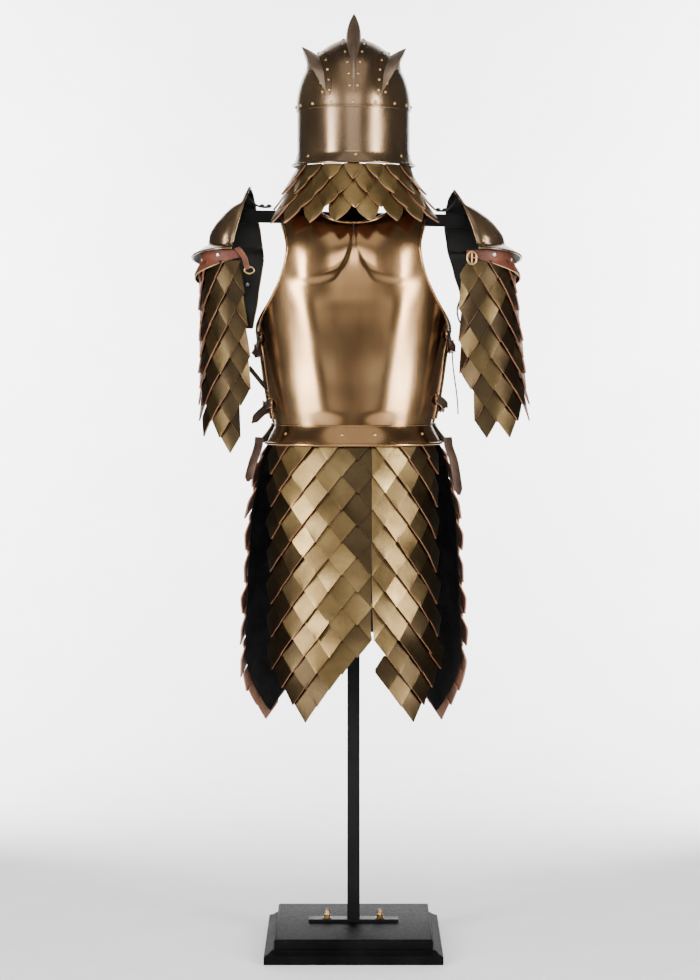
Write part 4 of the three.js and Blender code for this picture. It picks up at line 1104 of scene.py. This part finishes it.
# The left band's loose end turned down to its ring, the right wing's loop, and a stud inside the left wing
looseSet = {
    "tab": [(-229, -80.5, 1396), (-222, -82, 1389), (-214, -81.5, 1376), (-210, -80.5, 1362), (-208, -80, 1354)],
    "ring": (-204.5, -80, 1352), "ringWide": 9.5, "ringTall": 6.5, "stud": (-214.5, 61.2, 1326.4),
    "loop": [(222, 8, 1302), (212, 0, 1292), (207, -3, 1275), (210, -2, 1256), (219, 4, 1242), (228, 12, 1236)],
}
band("armBandTabLeft", looseSet["tab"], (1, 0, 0.35), 10, 2.6, russetMat, "russet_leather", samples=22, edge=paleMat)
ring = roundRing(looseSet["ring"], (looseSet["ringWide"], 0, 0), (0, 0, looseSet["ringTall"]), 28)
pipe("armBandRingLeft", ring, 1.5, brassMat, "brass", 8, closed=True, upHint=(0, -1, 0))
band("wingLoopRight", looseSet["loop"], (0.2, 1, 0), 9, 2.4, blackMat, "black_leather", samples=26)
rivets("wingStudLeft", [(looseSet["stud"], (0, -1, 0))], 4.2, 2.0, silverMat)
print("stage: arms made")

# Linings: felt inside the skirt's panels, the sleeves and the aventail. The hem is read by column.
farHem = {1: 13.6, 5: 17.5, 10: 12.6}
liningTable = [
    {"name": "liningNearLeft", "hem": {-7: 13.2, -4: 15.8, 1: 11.4}, "point": nearPoint(-0.4, 0),
     "core": skirtSet["core"], "ends": (-7.6, 0.95), "flat": (0.2, 0.49), "area": 0.095},
    {"name": "liningNearRight", "hem": {1: 11.4, 4: 15.2, 7: 12.8}, "point": nearPoint(0.4, 5),
     "core": skirtSet["core"], "ends": (1.15, 7.6), "flat": (0.15, 0.46), "area": 0.064},
    {"name": "liningFarLeft", "hem": farHem, "point": farPoint(-1), "core": skirtSet["core"], "ends": (1.0, 10.9),
     "flat": (0.23, 0.53), "area": 0.113},
    {"name": "liningFarRight", "hem": farHem, "point": farPoint(1), "core": skirtSet["core"], "ends": (1.0, 10.9),
     "flat": (0.23, 0.53), "area": 0.113},
    {"name": "liningSleeveLeft", "hem": {-7: 5.6, -5: 10.6, -2: 9.8, 4: 4.4}, "point": sleevePoint(armSet["left"]),
     "core": armSet["left"]["core"], "ends": (-6.9, 4.6), "flat": (0.3, 0.32), "area": 0.049},
    {"name": "liningSleeveRight", "hem": {-8: 6, -6: 9.6, -1: 9, 4: 4.4}, "point": sleevePoint(armSet["right"]),
     "core": armSet["right"]["core"], "ends": (-7.9, 4.6), "flat": (0.33, 0.32), "area": 0.055},
    {"name": "liningAventail", "hem": {-8: 2.3, 8: 2.3}, "point": aventailPoint, "core": aventailSet["core"],
     "ends": (-8.6, 8.6), "flat": (0.44, 0.07), "area": 0.024},
]
liningSize = {"gap": 10.4, "thick": 1.2, "columns": 44, "rows": 30, "top": 0.25}


def layLining(row, size):
    low, high = row["ends"]
    keys = sorted(row["hem"])
    drops = [row["hem"][k] for k in keys]

    def surface(u, v):
        i = low + (high - low) * (u + 1) / 2
        return row["point"](i, size["top"] + (np.interp(i, keys, drops) - size["top"]) * v)
    obj = shell(row["name"], size["columns"], size["rows"], surface, row["core"], size["thick"], [feltMat],
                -size["gap"])


for row in liningTable:
    layLining(row, liningSize)
print("stage: linings made")


# Straps: side straps under their buckles, shoulder straps over the bar, and the pauldrons' own
strapTable = [
    {"name": "UpperLeft", "node": "_upper_left", "side": -1, "high": 1222, "low": 1190},
    {"name": "UpperRight", "node": "_upper_right", "side": 1, "high": 1228, "low": 1198},
    {"name": "LowerLeft", "node": "_lower_left", "side": -1, "high": 1092, "low": 1076},
    {"name": "LowerRight", "node": "_lower_right", "side": 1, "high": 1100, "low": 1080},
]
strapSet = {"width": 18, "thick": 3, "start": 0.86, "frame": 11.3, "bar": 1.7, "rivet": 3.2, "rivetHeight": 1.8,
            "seat": 0.3, "tailThick": 2.8}
barSet = {"middle": 1457.5, "slope": -0.0213, "tall": 35, "y": 15.8}
hangerTable = [
    {"word": "left", "side": -1, "drop": 15.8, "hip": 932},
    {"word": "right", "side": 1, "drop": 11.9, "hip": 905},
]
# free ends of the side straps, which stand off the plates' sides, and one long strap end hanging on the left
tailTable = [
    {"name": "tailUpperLeft", "width": 15, "tip": 0.0, "route": [(-170, -8, 1214), (-184, -9, 1203), (-199, -8, 1184)]},
    {"name": "tailLowerLeft", "width": 17, "tip": 0.25,
     "route": [(-160, -9, 1083), (-176, -10, 1076), (-191, -10, 1063), (-203, -8, 1049)]},
    {"name": "tailLongLeft", "width": 9, "tip": 0.0, "route": [(-209, -5, 1161), (-191, -6, 1139), (-172, -7, 1116)]},
    {"name": "tailUpperRight", "width": 14, "tip": 0.25,
     "route": [(172, -9, 1224), (184, -10, 1216), (196, -10, 1204), (203, -8, 1191)]},
    {"name": "tailLowerRight", "width": 15, "tip": 0.25, "route": [(162, -9, 1101), (175, -10, 1094), (188, -8, 1080)]},
]


def onPlate(u, z, far, lift):
    here, n = outward(platePoint(far), u, heightShare(u, z), plateSet["core"], 0.004)
    return here + n * lift, n


def buckleFrame(name, centre, half, bar, normal, across, node, height=None):
    # a square frame with softened corners, or a round one of its own height, its centre bar and a tongue
    n, a = Vector(normal).normalized(), Vector(across).normalized()
    b = n.cross(a)
    tall = height or half
    ring = roundRing(centre, a * half, b * tall, 40, 0.9 if height else 0.42)
    middle = [tuple(Vector(centre) + b * (tall * 0.96 * t)) for t in np.linspace(-1, 1, 6)]
    tongue = [tuple(Vector(centre) + a * (half * t) + n * (0.8 + 1.6 * math.sin(math.pi * max(t, 0))))
              for t in np.linspace(-0.1, 1.08, 10)]
    made = gather([tube(ring, bar, 8, closed=True, upHint=n), tube(middle, bar * 0.8, 8),
                   tube(tongue, lambda t: bar * (0.85 - 0.35 * t), 8)])
    finishPiece(makeObject(name, *made, [brassMat]), "brass", node)


def dressSideStrap(row, size):
    name, side, high, low, half = row["name"], row["side"], row["high"], row["low"], size["thick"] / 2
    lift = size["seat"] + half
    outer = onPlate(side * 0.999, low + 4, True, lift + 4)[0]
    first, normal = onPlate(side * size["start"], high, False, lift + 2.2)
    route = [first, onPlate(side * 0.94, high - 3, False, lift + 3.2)[0],
             onPlate(side * 0.999, (high + low) / 2 + 4, False, lift + 5.6)[0],
             (outer[0] + side * 1.5, outer[1] - 9, low + 6), (outer[0] + side, outer[1] + 4, low + 3),
             onPlate(side * 0.94, low, True, lift + 2.6)[0], onPlate(side * 0.88, low - 2, True, lift + 0.8)[0]]
    band("strap" + name, [tuple(p) for p in route], (0, 0.25, 1), size["width"], size["thick"], darkMat,
         "dark_leather", ["strap" + row["node"]], 34, edge=brownMat)
    spot = (outer[0] + side * (1.6 + half + size["seat"] + 1.25), outer[1] - 4, low + 5)
    buckleFrame("buckle" + name, spot, size["frame"], size["bar"], (side, 0, 0), (0, 1, 0), "buckle" + row["node"])
    rivets("strapRivet" + name, [(first + normal * half, normal)], size["rivet"], size["rivetHeight"], brassMat)
    # a keeper loop for the free end past the buckle
    keep = (outer[0] + side * 1.3, outer[1] + 13, low + 1.5)
    loop = roundRing(keep, (side * 2.9, 0, 0), (0, 0, size["width"] / 2 + 1.6), 24, 0.5)
    pipe("keeper" + name, loop, 1.5, darkMat, "dark_leather", 8, closed=True, flat=2.2, upHint=(1, 0, 0))


def barTop(x):
    return barSet["middle"] + barSet["slope"] * x + barSet["tall"] / 2


def dressHanger(row, size):
    word, side, barY = row["word"], row["side"], barSet["y"]
    u, lift = side * 0.66, 1.8
    nearLow, nearNormal = onPlate(u, 1473, False, lift + 2.2)
    nearTop = onPlate(u, topEdge(u) - 1, False, lift + 1.6)[0]
    farTop = onPlate(u, topEdge(u) - 1, True, lift + 2.2)[0]
    farLow, farNormal = onPlate(u, 1475, True, lift + 4)
    x = nearTop[0]
    rest = barTop(x) + lift + 0.3
    route = [tuple(nearLow), (x, nearTop[1], nearTop[2] + 2.5), (x, -20, (nearTop[2] + rest) / 2 + 1), (x, barY, rest),
             (x, (barY + farTop[1]) / 2, (farTop[2] + rest) / 2 + 2), (x, farTop[1], farTop[2] + 2.5), tuple(farLow)]
    band("shoulderStrap" + word.title(), route, (1, 0, 0), 28, 3, darkMat, "dark_leather", ["shoulder_strap_" + word],
         44, edge=brownMat)
    places = [(nearLow + nearNormal * 1.5, nearNormal), (farLow + farNormal * 1.5, farNormal)]
    rivets("shoulderRivets" + word.title(), places, size["rivet"], size["rivetHeight"], brassMat)
    tipZ, tipX = armSet[word]["cup"][0][:2]
    hang = [(166, barTop(side * 166) + 1.8), (182, barTop(side * 182) + 1.8), (tipX - 10, barTop(side * 200) + 6),
            (tipX + 3, (barTop(side * 205) + tipZ) / 2), (tipX + 5, tipZ - row["drop"])]
    band("pauldronStrap" + word.title(), [(side * x, barY, z) for x, z in hang], (0, 1, 0), 14, 4, blackMat,
         "black_leather", ["pauldron_strap_" + word], 30)
    knobs = [((x * side, barY, barTop(x * side) + 2.6), (0, 0, 1)) for x in (169, 183)]
    rivets("pauldronKnob" + word.title(), knobs, 6.2, 5.2, plateBackMat, "black_leather")


def dressHip(row):
    side = row["side"]
    route = [(side * 188, -5.4, 1021), (side * 191, -5.6, 1000), (side * 201, -7, 970), (side * 211, -9, row["hip"])]
    band("hipFlap" + row["word"].title(), route, (0.72, side * 0.7, 0), 24, 3, darkMat, "dark_leather",
         ["hip_flap_" + row["word"]], 24, tip=0.12, edge=brownMat)


for row in tailTable:
    run = Vector(row["route"][-1]) - Vector(row["route"][0])
    band(row["name"], row["route"], (-run.z, 0, run.x), row["width"], strapSet["tailThick"], darkMat, "dark_leather",
         samples=20, tip=row["tip"], edge=brownMat)
for row in strapTable:
    dressSideStrap(row, strapSet)
for row in hangerTable:
    dressHanger(row, strapSet)
for row in hangerTable:
    dressHip(row)
armBuckle = armRing(armSet["right"], sleeveSet["share"], math.radians(-100), 1376)
buckleFrame("buckleArmRight", (armBuckle[0], armBuckle[1] - 5.2, armBuckle[2]), 9.2, 1.8, (0, -1, 0), (1, 0, 0),
            "buckle_arm_right", 12.2)
print("stage: straps made")

# Stand: stepped black base, foot strip with two bolts, square pole, crossbar and a pad for the helmet
standSet = {
    "lower": [(174.6, 0), (175, 0.6), (175, 15), (173.5, 17), (170, 18.5), (165.5, 20.5), (161, 24.5), (159, 26)],
    "upper": [(155, 26.3), (155, 41.5), (154.3, 43.4), (152.6, 44.7), (150.5, 45.3)],
    "bolt": 53, "nutFrom": 51.9, "nut": 7.0, "nutTall": 7.4, "cap": 4.9,
}


def squareTier(name, profile, node):
    # a square moulding: the profile swept round four mitred corners
    verts = [(sx * half, sy * half, z) for half, z in profile for sx, sy in ((-1, -1), (1, -1), (1, 1), (-1, 1))]
    faces = faceOut(verts, loftFaces(len(profile), 4))
    finishPiece(keepSharp(makeObject(name, verts, faces, [woodMat]), 28), "black_wood", node)


def lathed(profile, turns, x):
    angles = [2 * math.pi * t / turns for t in range(turns)]
    verts = [(x + r * math.cos(a), r * math.sin(a), z) for r, z in profile for a in angles]
    return verts, faceOut(verts, loftFaces(len(profile), turns))


def boltAt(name, x, size, node):
    low, top, nut = size["nutFrom"], size["nutFrom"] + size["nutTall"], size["nut"]
    cap = [(size["cap"] + 0.3, top), (size["cap"], top + 0.6), (size["cap"], top + 5.2)]
    turns = [math.pi / 2 * k / 6.4 for k in range(1, 7)]
    cap += [(size["cap"] * math.cos(a), top + 5.2 + 5.4 * math.sin(a)) for a in turns]
    washer = [(8.6, low), (8.8, low + 0.3), (8.8, low + 1.2), (8.4, low + 1.5)]
    hexagon = [(nut - 0.5, low + 1.5), (nut, low + 2.1), (nut, top - 0.6), (nut - 0.6, top)]
    made = gather([lathed(washer, 28, x), lathed(hexagon, 6, x), lathed(cap, 24, x)])
    finishPiece(keepSharp(makeObject(name, *made, [brassMat]), 30), "brass", node)


def keepNode(node, material):
    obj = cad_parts[node] if isinstance(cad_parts[node], bpy.types.Object) else bpy.data.objects[node]
    obj.data.materials.clear()
    obj.data.materials.append(material)


squareTier("baseLower", standSet["lower"], "base_lower")
squareTier("baseUpper", standSet["upper"], "base_upper")
boltAt("boltLeft", -standSet["bolt"], standSet, "bolt_left")
boltAt("boltRight", standSet["bolt"], standSet, "bolt_right")
for node in ("foot_strip", "pole", "crossbar"):
    keepNode(node, steelMat)
for node in ("head_rest", "skirt_band_near", "skirt_band_far"):
    keepNode(node, blackMat)
print("stage: stand made")

# Studio: pale floor and wall, tall soft boxes to both sides that streak the plates
studioSet = {"floor": 6.0, "wallHalf": 1.25, "wallDistance": 2.6, "wallHeight": 4.2, "curve": 0.9, "world": 0.085}
lampSet = [
    {"name": "leftTall", "at": (-2.34, -1.96, 1.45), "aim": (0, 0, 1.2), "size": (0.72, 2.3), "power": 150},
    {"name": "rightTall", "at": (2.34, -1.96, 1.45), "aim": (0, 0, 1.2), "size": (0.72, 2.3), "power": 150},
    {"name": "keyHigh", "at": (-0.15, -4.3, 2.75), "aim": (0, 0, 0.9), "size": (2.4, 1.0), "power": 52},
    {"name": "frontFill", "at": (0.0, -6.6, 1.7), "aim": (0, 0, 1.1), "size": (3.4, 3.0), "power": 52},
    {"name": "overhead", "at": (0.0, -1.9, 4.0), "aim": (0, -0.9, 1.0), "size": (2.6, 3.0), "power": 30},
    {"name": "wallLeft", "at": (-1.55, 1.2, 1.6), "aim": (-0.95, 2.6, 1.5), "size": (0.5, 2.6), "power": 170},
    {"name": "wallRight", "at": (1.55, 1.2, 1.6), "aim": (0.95, 2.6, 1.5), "size": (0.5, 2.6), "power": 170},
]


def paleMaterial():
    mat, tree, shader = newMaterial("studioPale")
    speck = noiseAt(tree, 6, (1, 1, 1), 3)
    tree.links.new(rampOf(tree, speck, [(0.86, 0.86, 0.86), (0.9, 0.9, 0.9)]), shader.inputs["Base Color"])
    shader.inputs["Roughness"].default_value = 0.75
    shader.inputs["Specular IOR Level"].default_value = 0.2
    return mat


def makeSweep(size):
    # the floor bends up into the wall
    half, back, curve = size["floor"] / 2, size["wallDistance"], size["curve"]
    profile = [(-half, 0.0), (back - curve - 0.3, 0.0), (back - curve, 0.0005)]
    turns = [math.pi / 2 * k / 12 for k in range(1, 13)]
    profile += [(back - curve + curve * math.sin(a), curve * (1 - math.cos(a))) for a in turns]
    profile.append((back, size["wallHeight"]))
    verts = [(s * (half if z <= 0 else size["wallHalf"]), y, z) for y, z in profile for s in (-1, 1)]
    mesh = bpy.data.meshes.new("studioSweep")
    mesh.from_pydata(verts, [], [(2 * k, 2 * k + 1, 2 * k + 3, 2 * k + 2) for k in range(len(profile) - 1)])
    mesh.materials.append(paleMaterial())
    mesh.polygons.foreach_set("use_smooth", [True] * len(mesh.polygons))
    linkNew("studioSweep", mesh)


def makeLamp(lamp):
    data = bpy.data.lights.new(lamp["name"], "AREA")
    data.shape = "RECTANGLE"
    data.size, data.size_y = lamp["size"]
    data.energy = lamp["power"]
    obj = linkNew(lamp["name"], data)
    obj.location = lamp["at"]
    obj.rotation_euler = (Vector(lamp["aim"]) - Vector(lamp["at"])).to_track_quat("-Z", "Y").to_euler()


makeSweep(studioSet)
for lamp in lampSet:
    makeLamp(lamp)
world = bpy.data.worlds.new("studioWorld")
world.use_nodes = True
world.node_tree.nodes["Background"].inputs[0].default_value = (1, 1, 1, 1)
world.node_tree.nodes["Background"].inputs[1].default_value = studioSet["world"]
bpy.context.scene.world = world
print("stage: studio made")
